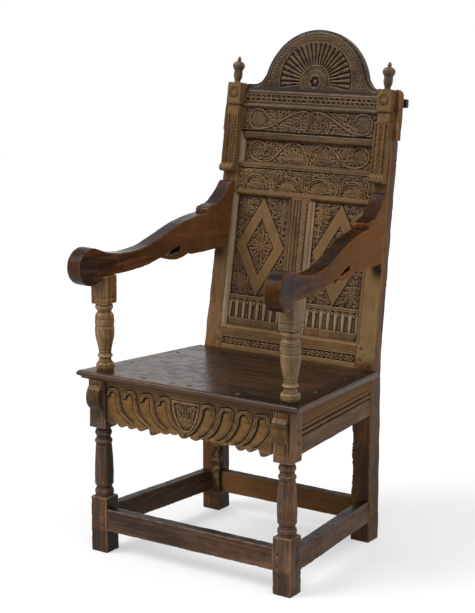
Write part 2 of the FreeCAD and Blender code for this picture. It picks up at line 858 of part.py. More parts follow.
def make_apron():
    rail = under_seat(apron_outline().extrude(vec(0, rail_thickness, 0)))
    top = seat_underside(0)
    front = apron_setback + lobe_relief
    ground = block(-leg_inner + lobe_band, leg_inner - lobe_band, apron_setback - over, front,
                   rail_bottom + apron_band, top - apron_band)
    raised = []
    for index in range(lobe_count):
        away = lobe_pitch * index
        raised.append(apron_lobe(lobe_first_right + away, top - lobe_top_drop, 1))
        raised.append(apron_lobe(-lobe_first_left - away, top - lobe_top_drop, -1))
    shield_top = top - shield_top_drop
    shield = front_prism([(-shield_half_width, shield_top), (shield_half_width, shield_top),
                          (0, shield_top - shield_height)], 0, front)
    ground = cut_all(ground, raised + [shield])
    rail = rail.cut(ground).fuse(apron_tenon(0))
    return cut_all(rail, both_sides(front_pegs(fit_gap) + seat_pegs(fit_gap)))


def make_corbel():
    top = seat_underside(0)
    x0 = leg_axis - corbel_width / 2
    cap = top - corbel_cap_height
    bottom = top - corbel_height
    span = cap - bottom

    def at(depth, share):
        return vec(x0, -depth, bottom + span * share)

    steps = [("to", vec(x0, 0, top)),
             ("to", vec(x0, -corbel_cap_depth, top)),
             ("to", at(corbel_cap_depth, 1)),
             ("to", at(corbel_waist_depth, 1)),
             ("arc", at(corbel_bulge_depth, corbel_bulge_share), at(corbel_waist_depth, corbel_waist_share)),
             ("arc", at(corbel_waist_depth * corbel_lip_share, corbel_lip_share / 2),
              at(corbel_foot_depth, 0)),
             ("to", vec(x0, 0, bottom))]
    corbel = outline(steps).extrude(vec(corbel_width, 0, 0))
    pitch = corbel_width / gouge_count
    gouges = [cylinder(gouge_radius, over, vec(x0 + pitch * (index + 1 / 2), -corbel_cap_depth, cap),
                       vec(0, 0, 1)) for index in range(gouge_count)]
    return under_seat(cut_all(corbel, gouges))


corbel_bulge_share = 0.70
corbel_waist_share = 0.32
corbel_lip_share = 0.45


def make_side_rail():
    rail = side_bar(side_rail_setback, rail_thickness, rail_bottom, rail_top, side_front_y, side_rear_y)
    rail = under_seat(rail)
    for height in (scratch_low, scratch_high):
        z = rail_bottom + height
        start = vec(side_x(side_front_y - over, side_rail_setback), side_front_y - over, z)
        end = vec(side_x(side_rear_y + over, side_rail_setback), side_rear_y + over, z)
        rail = rail.cut(cylinder(scratch_radius, (end - start).Length, start, end - start))
    rail = rail.fuse(side_rail_tenon(0))
    return cut_all(rail, side_pegs(fit_gap) + seat_pegs(fit_gap))


def make_side_stretcher():
    bar = side_bar(side_rail_setback, stretcher_thickness, side_stretcher_bottom, side_stretcher_top,
                   side_front_y, side_rear_y)
    return cut_all(bar.fuse(side_stretcher_tenon(0)), side_pegs(fit_gap))


def make_front_stretcher():
    bar = block(-leg_inner, leg_inner, stretcher_setback, stretcher_setback + stretcher_thickness,
                front_stretcher_bottom, front_stretcher_top)
    return cut_all(bar.fuse(front_stretcher_tenon(0)), both_sides(front_pegs(fit_gap)))


def make_rear_stretcher():
    bar = block(-post_inner, post_inner, rear_stretcher_face, rear_stretcher_face + stretcher_thickness,
                rear_stretcher_bottom, rear_stretcher_top)
    return cut_all(bar.fuse(rear_stretcher_tenon(0)), both_sides(rear_pegs(fit_gap)))


def make_rear_rail():
    rail = block(-post_inner, post_inner, post_front, rear_rail_face + rail_thickness, rail_bottom, rail_top)
    face = block(-post_inner, post_inner, post_front, rear_rail_face, rail_bottom - over, rail_top)
    ledger = block(-post_inner, post_inner, post_front, rear_rail_face, rear_ledger_bottom, rail_top)
    rail = under_seat(rail.cut(face).fuse(ledger)).fuse(rear_rail_tenon(0))
    return cut_all(rail.removeSplitter(), both_sides(rear_pegs(fit_gap)))


rear_ledger_bottom = 388.0    # a ledge along the rear rail carries the back edge of the board


# Pieces of the back, made in the frame of the back
def back_bar(name, extra):
    # A rail with its tenons, and with some extra below it.
    low, high = back_rails[name]
    bar = block(-post_inner, post_inner, 0, rail_thickness, low - extra, high)
    return bar.fuse(back_tenon(low, high, 0))


def finish_rail(rail):
    return cut_all(leaned(rail), both_sides(back_pegs(fit_gap)))


def rectangle(x0, x1, y, z0, z1):
    return Part.makePolygon([vec(x0, y, z0), vec(x1, y, z0), vec(x1, y, z1), vec(x0, y, z1), vec(x0, y, z0)])


def opening_funnel(x0, x1):
    # What the bevels round a lower panel take away, mitred at the corners.
    bevel = opening_bevel
    inner = rectangle(x0, x1, bevel, bottom_rail_top, lunette_rail_bottom)
    outer = rectangle(x0 - bevel * 2, x1 + bevel * 2, -bevel, bottom_rail_top - bevel * 2,
                      lunette_rail_bottom + bevel * 2)
    return Part.makeLoft([outer, inner], True, True)


def opening_funnels():
    right = opening_funnel(muntin_half, post_inner)
    return [right, mirrored(right)]


def muntin_tenon(gap):
    half = muntin_half - tenon_shoulder + gap
    return block(-half, half, tenon_setback - gap, tenon_setback + tenon_thickness + gap,
                 bottom_rail_top - tenon_length - gap, lunette_rail_bottom + tenon_length + gap)


strip_low = 8.0               # carved strip of the bottom rail
strip_high = 34.0
strip_depth = 3.0
strip_wave_count = 9
strip_band = 4.0


def make_bottom_rail():
    rail = back_bar("back_bottom_rail", over)
    sunk = block(-post_inner, post_inner, -over, strip_depth, strip_low, strip_high)
    pitch = 2 * post_inner / strip_wave_count
    middle = (strip_low + strip_high) / 2
    outer = middle - strip_low - strip_depth / 2
    waves = []
    for index in range(strip_wave_count):
        x = -post_inner + pitch * (index + 1 / 2)
        waves.append(ring_sector(x, middle, outer - strip_band, outer, half_turn * (index % 2),
                                 half_turn, 0, strip_depth))
    rail = rail.cut(cut_all(sunk, waves))
    lower, frieze = panel_slot(seat_gap)
    rail = finish_rail(cut_all(rail, [lower, muntin_tenon(fit_gap)] + opening_funnels()))
    in_front = block(-post_inner - over, post_inner + over, 0, back_front, 0, seat_rear_height)
    below = tilted(block(-seat_half_front, seat_half_front, 0, seat_run + over * 3,
                         -seat_front_height, 0))
    return cut_all(rail, [in_front, below])


def lunette_places():
    return [lunette_pitch * (index - (lunette_count - 1) / 2) for index in range(lunette_count)]


def make_lunette_rail():
    rail = back_bar("lunette_rail", 0)
    ground = block(-post_inner, post_inner, -over, carving_relief, lunette_base,
                   lunette_base + lunette_radius + lunette_band)
    raised = []
    for x in lunette_places():
        for outer in (lunette_radius, lunette_band * 2):
            raised.append(ring_sector(x, lunette_base, outer - lunette_band, outer, 0, half_turn,
                                      0, carving_relief))
    rail = rail.cut(cut_all(ground, raised))
    lower, frieze = panel_slot(seat_gap)
    return finish_rail(cut_all(rail, [lower, frieze, muntin_tenon(fit_gap)] + opening_funnels()))


ring_place_shares = (0.26, 0.80)      # of the inner half width, where the scrolls' rings stand


def make_scroll_rail():
    low, high = back_rails["scroll_rail"]
    rail = back_bar("scroll_rail", 0)
    middle = (low + high) / 2
    ground = block(-post_inner + moulding_width, post_inner - moulding_width, -over, carving_relief,
                   low + moulding_width, high - moulding_width)
    raised = []
    for share in ring_place_shares:
        for start in (0, half_turn):
            ring = ring_sector(post_inner * share, middle, ring_radius - ring_band, ring_radius,
                               start, half_turn, 0, carving_relief)
            raised += both_sides([ring])
    rail = rail.cut(cut_all(ground, raised))
    lower, frieze = panel_slot(seat_gap)
    return finish_rail(rail.cut(frieze))


def make_crest_rail():
    low, high = back_rails["crest_rail"]
    rail = back_bar("crest_rail", 0)
    bevel = side_prism([(-over, high - over - crest_bevel), (-over, high), (crest_bevel, high)],
                       -post_inner, post_inner)
    rail = rail.cut(bevel)
    grooves = []
    pitch = 2 * post_inner / dentil_count
    top = dentil_base + dentil_pitch * (dentil_rows - 1) + dentil_height
    for index in range(1, dentil_count):
        x = -post_inner + pitch * index
        grooves.append(block(x - dentil_relief / 2, x + dentil_relief / 2, -over, dentil_relief,
                             dentil_base, top))
    for row in range(dentil_rows - 1):
        z = dentil_base + dentil_pitch * row + dentil_height
        gap = dentil_pitch - dentil_height
        grooves.append(block(-post_inner, post_inner, -over, dentil_relief, z, z + gap))
    rail = rail.cut(Part.makeCompound(grooves))
    bead = block(-post_inner, post_inner, -crest_moulding_depth, 0, low, low + crest_moulding_height)
    rail = finish_rail(rail.fuse(bead))
    rebate = block(-post_inner, post_inner, pediment_setback - fit_gap, back_thickness + over,
                   pediment_rebate, back_length + over)
    return rail.cut(leaned(rebate))


def make_muntin():
    post = block(-muntin_half, muntin_half, 0, rail_thickness, bottom_rail_top, lunette_rail_bottom)
    bead = muntin_half - opening_bevel * 2
    sunk = [block(side * bead - moulding_width / 2, side * bead + moulding_width / 2, -over,
                  carving_relief, bottom_rail_top, lunette_rail_bottom) for side in (-1, 1)]
    lower, frieze = panel_slot(seat_gap)
    groove_floor = muntin_half - panel_tongue - seat_gap
    core = block(-groove_floor, groove_floor, -over, over, bottom_rail_top - over, lunette_rail_bottom + over)
    post = post.fuse(muntin_tenon(0))
    return leaned(cut_all(post, sunk + [lower.cut(core)] + opening_funnels()))


def lozenge(x, half_width, half_height):
    points = [(x - half_width, lozenge_middle), (x, lozenge_middle + half_height),
              (x + half_width, lozenge_middle), (x, lozenge_middle - half_height)]
    return front_prism(points, panel_recess - strap_relief, panel_recess)


def make_lower_panel():
    inner = muntin_half - panel_tongue
    outer = post_inner + panel_tongue
    middle = (muntin_half + post_inner) / 2
    panel = block(inner, outer, panel_recess, panel_recess + panel_thickness,
                  bottom_rail_top - panel_tongue, lunette_rail_bottom + panel_tongue)
    strap = lozenge(middle, lozenge_half_width, lozenge_half_height)
    strap = strap.cut(lozenge(middle, inner_half_width, inner_half_height))
    pieces = [panel, strap]
    pitch = (post_inner - muntin_half) / null_count
    radius = pitch / 2 - null_relief / 2
    for index in range(null_count):
        x = muntin_half + pitch * (index + 1 / 2)
        shoulder = null_top - radius
        steps = [("to", vec(x - radius, panel_recess - null_relief, null_bottom)),
                 ("to", vec(x + radius, panel_recess - null_relief, null_bottom)),
                 ("to", vec(x + radius, panel_recess - null_relief, shoulder)),
                 ("arc", vec(x, panel_recess - null_relief, null_top),
                  vec(x - radius, panel_recess - null_relief, shoulder))]
        pieces.append(outline(steps).extrude(vec(0, null_relief, 0)))
    return leaned(joined(pieces))


def make_frieze():
    panel = block(-post_inner - panel_tongue, post_inner + panel_tongue, panel_recess,
                  panel_recess + panel_thickness, frieze_bottom - panel_tongue, frieze_top + panel_tongue)
    base = frieze_bottom + frieze_low_moulding
    pieces = [panel]
    place = arch_radius - arch_band / 2
    for side in (-1, 1):
        pieces.append(ring_sector(side * place, base, arch_radius - arch_band, arch_radius,
                                  0, half_turn, panel_recess - carving_relief, panel_recess))
    return leaned(joined(pieces))


def frieze_mouldings():
    # Four mitred strips that lie in the frame on the face of the frieze panel, bevelled inwards.
    x0 = post_inner
    x1 = post_inner - frieze_side_moulding
    z0 = frieze_bottom
    z1 = frieze_top
    low = z0 + frieze_low_moulding
    high = z1 - frieze_top_moulding
    sides = {
        "frieze_moulding_bottom": [(-x0, z0), (x0, z0), (x1, low), (-x1, low)],
        "frieze_moulding_top": [(-x0, z1), (x0, z1), (x1, high), (-x1, high)],
        "frieze_moulding_left": [(-x0, z0), (-x1, low), (-x1, high), (-x0, z1)],
        "frieze_moulding_right": [(x0, z0), (x1, low), (x1, high), (x0, z1)],
    }
    bevel = frieze_bevel
    wide = x1 + bevel * 2
    outer = rectangle(-wide, wide, -bevel, low - bevel * 2, high + bevel * 2)
    funnel = Part.makeLoft([outer, rectangle(-x1, x1, bevel, low, high)], True, True)
    return {name: leaned(front_prism(points, 0, panel_recess).cut(funnel))
            for name, points in sides.items()}


def make_pediment():
    y0 = pediment_setback
    y1 = back_thickness
    radius = pediment_radius
    cove_top = back_length + pediment_cove
    shoulder = math.sqrt(radius ** 2 - (cove_top - pediment_middle) ** 2)
    knee = vec(shoulder + (pediment_foot_half - shoulder) * cove_share, y0,
               back_length + pediment_cove * cove_share)

    def left(point):
        return vec(-point.x, point.y, point.z)

    foot = vec(pediment_foot_half, y0, back_length)
    end = vec(shoulder, y0, cove_top)
    tongue = post_inner - fit_gap
    steps = [("to", vec(tongue, y0, pediment_rebate)), ("to", vec(tongue, y0, back_length)), ("to", foot),
             ("arc", knee, end), ("arc", vec(0, y0, pediment_middle + radius), left(end)),
             ("arc", left(knee), left(foot)), ("to", vec(-tongue, y0, back_length)),
             ("to", vec(-tongue, y0, pediment_rebate))]
    board = outline(steps).extrude(vec(0, y1 - y0, 0))
    flutes = []
    step = half_turn / flute_count
    for index in range(flute_count):
        start = step * (index + (1 - flute_fill_share) / 2)
        flutes.append(ring_sector(0, fan_middle, fan_inner, fan_radius, start, step * flute_fill_share,
                                  y0 - over, y0 + flute_depth))
    board = board.cut(Part.makeCompound(flutes))
    front = vec(0, y0 - over, fan_middle)
    well = cylinder(fan_inner - boss_radius, over + roundel_relief, front, vec(0, 1, 0))
    boss = cylinder(boss_radius, over + roundel_relief, front, vec(0, 1, 0))
    return leaned(board.cut(well.cut(boss)))


cove_share = 0.35             # how hollow the feet of the pediment are


def make_block():
    x1 = post_top_half
    main = block(post_inner, x1, -block_depth, block_let_in, block_bottom, back_length)
    neck = block(post_inner + neck_setback, x1 - neck_setback, -neck_depth, 0, neck_bottom, block_bottom)
    middle = (post_inner + x1) / 2
    height = (block_bottom + back_length) / 2
    groove_start = vec(middle, -block_depth - over + carving_relief / 2, height)
    core_start = vec(middle, -block_depth - over, height)
    groove = cylinder(ring_radius, over, groove_start, vec(0, 1, 0))
    core = cylinder(ring_radius - ring_band, over * 2, core_start, vec(0, 1, 0))
    piece = main.fuse(neck).cut(groove.cut(core))
    return leaned(cut_all(piece, [finial_dowel(fit_gap)]))


def finial_axis_x():
    return (post_inner + post_top_half) / 2


def finial_dowel(gap):
    base = vec(finial_axis_x(), -finial_axis_depth, back_length - finial_dowel_length - gap)
    return cylinder(finial_dowel_radius + gap, finial_dowel_length * 3 / 2 + gap, base, vec(0, 0, 1))


def make_finial():
    rings = rings_from(finial_ring_shares, back_length, back_length + finial_height, finial_radius)
    body = turned(finial_axis_x(), -finial_axis_depth, rings)
    return leaned(joined([body, finial_dowel(0)]))


def make_ear():
    x0 = post_inner
    x1 = post_top_half
    strip = block(x0, x1, -ear_depth, 0, ear_bottom, neck_bottom)
    roll_depth = ear_depth + ear_roll_proud - ear_roll_radius
    roll_start = vec(x0, -roll_depth, ear_bottom + ear_roll_radius)
    roll = cylinder(ear_roll_radius, x1 - x0, roll_start, vec(1, 0, 0))
    pitch = (x1 - x0) / ear_flute_count
    low = ear_bottom + ear_roll_radius * 2 + ear_flute_radius
    flutes = [cylinder(ear_flute_radius, over * 4, vec(x0 + pitch * (index + 1 / 2), -ear_depth, low),
                       vec(0, 0, 1)) for index in range(ear_flute_count)]
    return leaned(cut_all(strip.fuse(roll), flutes))


def make_cheek():
    low = post_outer(cheek_bottom)
    high = post_outer(cheek_top)
    r = cheek_round
    turn = cheek_thickness - r * (1 - math.cos(math.pi / 4))
    steps = [("to", vec(low, 0, cheek_bottom)), ("to", vec(low + cheek_thickness, 0, cheek_bottom)),
             ("to", vec(high + cheek_thickness, 0, cheek_top - r)),
             ("arc", vec(high + turn, 0, cheek_top - r * (1 - math.sin(math.pi / 4))),
              vec(high + cheek_thickness - r, 0, cheek_top)),
             ("to", vec(high, 0, cheek_top))]
    return leaned(outline(steps).extrude(vec(0, cheek_depth, 0)))


def make_batten():
    return leaned(block(-batten_half, batten_half, back_thickness, back_thickness + batten_thickness,
                        batten_bottom, batten_top))


# Every node of the chair, by name
nodes = {}


def add_pair(name, shape):
    nodes[name + "_right"] = shape
    nodes[name + "_left"] = mirrored(shape)


add_pair("front_leg", make_front_leg())
add_pair("rear_post", make_rear_post())
nodes["front_apron_rail"] = make_apron()
add_pair("side_seat_rail", make_side_rail())
nodes["rear_seat_rail"] = make_rear_rail()
nodes["front_stretcher"] = make_front_stretcher()
add_pair("side_stretcher", make_side_stretcher())
nodes["rear_stretcher"] = make_rear_stretcher()
add_pair("leg_corbel", make_corbel())
nodes["seat_board"] = make_seat()
add_pair("arm_support", make_support())
add_pair("arm", make_arm())
nodes["back_bottom_rail"] = make_bottom_rail()
nodes["back_muntin"] = make_muntin()
add_pair("lower_panel", make_lower_panel())
nodes["lunette_rail"] = make_lunette_rail()
nodes["frieze_panel"] = make_frieze()
nodes.update(frieze_mouldings())
nodes["scroll_rail"] = make_scroll_rail()
nodes["crest_rail"] = make_crest_rail()
nodes["crest_pediment"] = make_pediment()
nodes["crest_batten"] = make_batten()
add_pair("crest_block", make_block())
add_pair("ear_strip", make_ear())
add_pair("post_cheek", make_cheek())
add_pair("finial", make_finial())
nodes["pegs_front_frame"] = Part.makeCompound(both_sides(front_pegs(0)))
nodes["pegs_side_frames"] = Part.makeCompound(both_sides(side_pegs(0)))
nodes["pegs_rear_frame"] = Part.makeCompound(both_sides(rear_pegs(0)))
nodes["pegs_back"] = Part.makeCompound(both_sides(back_pegs(0)))
nodes["pegs_arms"] = Part.makeCompound(both_sides([arm_peg(0)]))
nodes["pegs_seat"] = Part.makeCompound(both_sides(seat_pegs(0)))

# The origin is on the floor, under the middle of the whole chair
whole = Part.makeCompound(list(nodes.values()))
box = whole.optimalBoundingBox()
shift = vec(0, -(box.YMin + box.YMax) / 2, 0)

os.makedirs("parts", exist_ok=True)
for name, shape in nodes.items():
    placed = shape.copy()
    placed.translate(shift)
    placed.exportStep("parts/" + name + ".step")
print("shift", round(shift.y, 3))
print("nodes", len(nodes), "size", round(box.XLength, 1), round(box.YLength, 1), round(box.ZLength, 1))
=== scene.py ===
import json
import math

import bpy
import numpy as np
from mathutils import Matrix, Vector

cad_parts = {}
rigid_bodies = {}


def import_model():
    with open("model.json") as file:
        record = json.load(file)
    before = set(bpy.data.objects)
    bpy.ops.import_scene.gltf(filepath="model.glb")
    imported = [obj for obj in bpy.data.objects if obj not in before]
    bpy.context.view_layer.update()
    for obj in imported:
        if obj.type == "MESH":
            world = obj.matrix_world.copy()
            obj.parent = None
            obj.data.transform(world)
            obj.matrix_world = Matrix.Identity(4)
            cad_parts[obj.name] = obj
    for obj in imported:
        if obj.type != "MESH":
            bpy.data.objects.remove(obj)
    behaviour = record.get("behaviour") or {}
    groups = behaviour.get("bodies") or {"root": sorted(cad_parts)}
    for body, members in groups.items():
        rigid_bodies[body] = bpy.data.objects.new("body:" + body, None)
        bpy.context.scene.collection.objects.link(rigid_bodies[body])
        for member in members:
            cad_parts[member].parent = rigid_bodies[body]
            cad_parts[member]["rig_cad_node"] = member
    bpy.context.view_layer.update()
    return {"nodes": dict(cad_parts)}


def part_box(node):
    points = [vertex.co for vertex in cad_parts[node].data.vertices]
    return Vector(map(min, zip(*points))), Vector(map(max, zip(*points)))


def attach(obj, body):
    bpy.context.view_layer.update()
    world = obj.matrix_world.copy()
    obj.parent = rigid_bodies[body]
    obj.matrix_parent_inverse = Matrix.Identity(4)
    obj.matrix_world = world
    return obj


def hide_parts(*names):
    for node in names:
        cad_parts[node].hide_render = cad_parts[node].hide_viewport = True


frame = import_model()

# Carved oak armchair. Relief is drawn in millimetres on flat canvases, then set on the frame in metres.
MM = 0.001
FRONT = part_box("front_leg_right")[0][1]      # the front face of the legs
SLOPE = 0.168                                # how far the back goes to the rear for its height
LEAN = math.atan(SLOPE)
BACK_FRONT = 424.0                           # from the legs' front to the posts, where the back starts
BACK_LOW = 432.6                             # height of that line above the floor


def back_place(x, depth, up):
    """A point of the leaning back: across, behind the face of the posts, and up along the lean."""
    y = BACK_FRONT + depth * math.cos(LEAN) + up * math.sin(LEAN)
    z = BACK_LOW + up * math.cos(LEAN) - depth * math.sin(LEAN)
    return x * MM, FRONT + y * MM, z * MM


def front_place(x, depth, up):
    """A point of an upright face: across, behind the legs' front, above the floor."""
    return x * MM, FRONT + depth * MM, up * MM


# Fields of numbers

def blur(field, sigma):
    """A field softened over sigma cells."""
    reach = max(1, int(sigma * 3))
    taps = np.exp(-0.5 * (np.arange(-reach, reach + 1) / sigma) ** 2)
    taps /= taps.sum()
    for axis in (0, 1):
        pad = [(0, 0), (0, 0)]
        pad[axis] = (reach, reach)
        wide = np.pad(field, pad, mode="edge")
        total = np.zeros_like(field)
        for i, tap in enumerate(taps):
            cut = [slice(None), slice(None)]
            cut[axis] = slice(i, i + field.shape[axis])
            total += tap * wide[tuple(cut)]
        field = total
    return field


def rough(shape, sigma, seed):
    """Smooth random ground of about unit height."""
    rng = np.random.default_rng(seed)
    small = tuple(max(4, int(n / max(sigma, 1)) + 4) for n in shape)
    coarse = rng.normal(size=small)
    rows = np.linspace(0, small[0] - 1.001, shape[0])
    cols = np.linspace(0, small[1] - 1.001, shape[1])
    i, j = rows.astype(int)[:, None], cols.astype(int)[None, :]
    a, b = rows[:, None] - i, cols[None, :] - j
    a, b = a * a * (3 - 2 * a), b * b * (3 - 2 * b)
    return ((coarse[i, j] * (1 - a) + coarse[i + 1, j] * a) * (1 - b)
            + (coarse[i, j + 1] * (1 - a) + coarse[i + 1, j + 1] * a) * b)


def waves(points, length, seed, count=16):
    """Smooth random values at points in space, of about unit height; length is in metres."""
    rng = np.random.default_rng(seed)
    total = np.zeros(len(points))
    for _ in range(count):
        way = rng.normal(size=3)
        way *= 2 * math.pi / (length * rng.uniform(0.6, 1.6) * np.linalg.norm(way))
        total += np.sin(points @ way + rng.uniform(0, 6.28))
    return total * math.sqrt(2 / count)


def step(low, high, x):
    """Rises smoothly from 0 at low to 1 at high; low may be the larger."""
    t = np.clip((x - low) / (high - low), 0, 1)
    return t * t * (3 - 2 * t)


def smooth_line(points, count=10):
    """A smooth curve through points (Catmull-Rom)."""
    p = np.array(points, float)
    p = np.vstack([2 * p[0] - p[1], p, 2 * p[-1] - p[-2]])
    t = np.linspace(0, 1, count, endpoint=False)[:, None]
    runs = [0.5 * (2 * b + (c - a) * t + (2 * a - 5 * b + 4 * c - d) * t ** 2
                   + (3 * b - a - 3 * c + d) * t ** 3)
            for a, b, c, d in zip(p, p[1:], p[2:], p[3:])]
    return np.vstack(runs + [p[-2][None]])


def polar(x, y, reach, turn, rise=None):
    """A point about (x, y) at a turn in radians; rise is the reach upwards where it differs."""
    return x + reach * math.cos(turn), y + (rise or reach) * math.sin(turn)


def dome(q):
    """A half-round profile: 1 in the middle, 0 from q = 1 on."""
    return np.sqrt(np.clip(1 - q ** 2, 0, 1))


def loaf(q, flat):
    """A rounded profile that is level over a share of its width."""
    return np.where(q < flat, 1.0, dome((q - flat) / (1 - flat)))


def strokes(along, length):
    """Rounded cuts in a row, one to each length."""
    return np.clip(np.sin(along * 2 * math.pi / length), 0, 1) ** 2


def bell(off, width):
    """A soft line: 1 in its middle, nothing at some widths from it."""
    return np.exp(-(off / width) ** 2)


class Canvas:
    """A carved face: heights in millimetres over a grid of places across (u) and up (v).
    0 is the uncut face of the wood and ground is the floor of the carving."""

    def __init__(self, u0, u1, v0, v1, cell=1.0, ground=-3.5, start=0.0):
        self.us = np.linspace(u0, u1, int(round((u1 - u0) / cell)) + 1)
        self.vs = np.linspace(v0, v1, int(round((v1 - v0) / cell)) + 1)
        self.cell = cell
        self.u, self.v = np.meshgrid(self.us, self.vs)
        self.h = np.full(self.u.shape, float(start))
        self.ground = ground
        self.dark = np.zeros(self.u.shape)
        self.pale = np.zeros(self.u.shape)

    def window(self, u0, u1, v0, v1):
        i = slice(*np.searchsorted(self.vs, (v0, v1)))
        j = slice(*np.searchsorted(self.us, (u0, u1)))
        return i, j

    def sink(self, u0, u1, v0, v1, depth=None, slope=1.2):
        """Cuts a flat-bottomed field with steep sides."""
        depth = self.ground if depth is None else depth
        inside = np.minimum(np.minimum(self.u - u0, u1 - self.u), np.minimum(self.v - v0, v1 - self.v))
        self.h = np.minimum(self.h, depth * step(-slope / 2, slope / 2, inside))

    def near(self, points, reach):
        """For the cells near a line: the window, the distance, the share along it, and the side."""
        p = np.asarray(points, float)
        win = self.window(p[:, 0].min() - reach, p[:, 0].max() + reach,
                          p[:, 1].min() - reach, p[:, 1].max() + reach)
        u, v = self.u[win], self.v[win]
        best = np.full(u.shape, 1e9)
        share = np.zeros(u.shape)
        side = np.zeros(u.shape)
        lengths = np.hypot(*np.diff(p, axis=0).T)
        total = max(lengths.sum(), 1e-9)
        done = 0.0
        for a, b, length in zip(p[:-1], p[1:], lengths):
            if length > 1e-9:
                du, dv = (b - a) / length
                along = np.clip((u - a[0]) * du + (v - a[1]) * dv, 0, length)
                ou, ov = u - a[0] - along * du, v - a[1] - along * dv
                d = np.hypot(ou, ov)
                closer = d < best
                best[closer] = d[closer]
                share[closer] = ((done + along) / total)[closer]
                side[closer] = (ov * du - ou * dv)[closer]
            done += length
        return win, best, share, side

    def lift(self, win, value, inside):
        self.h[win] = np.where(inside, np.maximum(self.h[win], value), self.h[win])

    def lower(self, win, value, inside):
        self.h[win] = np.where(inside, np.minimum(self.h[win], value), self.h[win])

    def form(self, where, value):
        """Gives the places of a mask a height of their own."""
        self.h = np.where(where, value, self.h)

    def darken(self, value, win=...):
        """Darkens a window, or the whole, at least as far as the value."""
        self.dark[win] = np.maximum(self.dark[win], value)

    def band(self, points, half, top=0.0, flat=0.35, taper=None):
        """A raised band along a line; flat is the share of its width that is level."""
        win, d, t, _ = self.near(points, half + 1)
        width = half * (np.ones_like(t) if taper is None else taper(t))
        q = np.clip(d / np.maximum(width, 1e-6), 0, 1)
        self.lift(win, self.ground + (top - self.ground) * loaf(q, flat), d < width)

    def groove(self, points, half, depth):
        """A V-cut along a line, below whatever is there."""
        win, d, _, _ = self.near(points, half + 1)
        self.h[win] -= depth * np.clip(1 - d / half, 0, 1)

    def lines(self, heights, half, depth):
        """V-cuts straight across the whole canvas."""
        for v in heights:
            self.groove([(self.us[0], v), (self.us[-1], v)], half, depth)

    def leaf(self, points, half, top=-0.4, veins=0, rib=1.0):
        """A leaf along a line: swelling and narrowing, with a rib and slanted veins."""
        win, d, t, side = self.near(points, half * 1.4 + 1)
        width = half * np.sin(math.pi * np.clip(t, 0.02, 0.999) ** (1 / 1.3)) ** 0.8
        q = np.clip(d / np.maximum(width, 1e-6), 0, 1)
        value = self.ground + (top - self.ground) * (0.45 + 0.55 * dome(q))
        value -= rib * bell(d, 0.8)
        if veins:
            value -= 0.55 * rib * np.clip(np.cos((t * veins - q * 0.45) * 2 * math.pi), 0, 1) ** 3
        self.lift(win, value, (d < width) & (t > 0.003) & (t < 0.997))

    def rosette(self, x, y, radius, petals, top, turn=0.0):
        """A daisy: round petals about a boss."""
        boss = 0.27 * radius
        win = self.window(x - radius, x + radius, y - radius, y + radius)
        du, dv = self.u[win] - x, self.v[win] - y
        r, a = np.hypot(du, dv), np.arctan2(dv, du) + math.radians(turn)
        wave = np.abs(np.cos(a * petals / 2))
        edge = radius * (0.72 + 0.28 * wave ** 0.5)
        q = np.clip(r / edge, 0, 1)
        rise = top - self.ground
        value = self.ground + rise * (0.5 + 0.5 * np.sqrt(1 - q ** 4)) * (0.62 + 0.38 * wave ** 0.6)
        core = self.ground + rise * (0.75 + 0.35 * dome(r / boss))
        value = np.where(r < boss, core, value) - 1.3 * bell(r - boss, 0.8)
        self.lift(win, value, r < edge)

    def ring(self, x, y, radius, half, top=0.0, flat=0.3):
        """A raised ring."""
        win = self.window(x - radius - half, x + radius + half, y - radius - half, y + radius + half)
        r = np.hypot(self.u[win] - x, self.v[win] - y)
        q = np.abs(r - radius) / half
        self.lift(win, self.ground + (top - self.ground) * loaf(q, flat), q < 1)

    def stipple(self, density, depth, seed):
        """Small punch marks where the ground lies open."""
        rng = np.random.default_rng(seed)
        dots = blur((rng.random(self.h.shape) < density).astype(float), 0.75 / self.cell)
        dots = np.clip(dots / max(np.percentile(dots, 98), 1e-6), 0, 1)
        self.h -= depth * dots * (self.h < self.ground + 1)

    def thicket(self, seed, spacing=7.8, length=11.0, half=2.9, below=0.8, top=-0.8):
        """Small leaves wherever the ground lies open."""
        rng = np.random.default_rng(seed)
        clear = self.h < self.ground + below
        flow = 2.6 * rough(self.h.shape, 20 / self.cell, seed + 7)
        step_u, step_v = self.us[1] - self.us[0], self.vs[1] - self.vs[0]
        for row, v in enumerate(np.arange(self.vs[0], self.vs[-1], spacing * 0.87)):
            for u in np.arange(self.us[0] + row % 2 * spacing / 2, self.us[-1], spacing):
                x, y = np.array([u, v]) + rng.normal(size=2) * spacing * 0.15
                i, j = int(round((y - self.vs[0]) / step_v)), int(round((x - self.us[0]) / step_u))
                size, bend = length * rng.uniform(0.75, 1.15), rng.uniform(-1, 1)
                turn, drop = rng.normal(), rng.random()
                if not (0 <= i < len(self.vs) and 0 <= j < len(self.us)) or not clear[i, j]:
                    continue
                a = flow[i, j] + 0.4 * turn
                start = np.array([x - 0.5 * size * math.cos(a), y - 0.5 * size * math.sin(a)])
                middle = start + 0.5 * size * np.array([math.cos(a), math.sin(a)])
                tip = middle + 0.5 * size * np.array([math.cos(a + bend), math.sin(a + bend)])
                self.leaf([start, middle, tip], half, top - 0.5 * drop, rib=0.9)

    def flip(self):
        """Turns the canvas over for the piece of the left side."""
        self.us = -self.us[::-1]
        self.u = -self.u[:, ::-1]
        for field in ("h", "dark", "pale"):
            setattr(self, field, getattr(self, field)[:, ::-1].copy())

    def finish(self, seed, soft=0.55, wobble=0.22):
        """Softens the cuts a little and gives them the unevenness of handwork."""
        self.h = blur(self.h, soft / self.cell)
        self.h += wobble * rough(self.h.shape, 14 / self.cell, seed) \
            + 0.10 * rough(self.h.shape, 3 / self.cell, seed + 1)

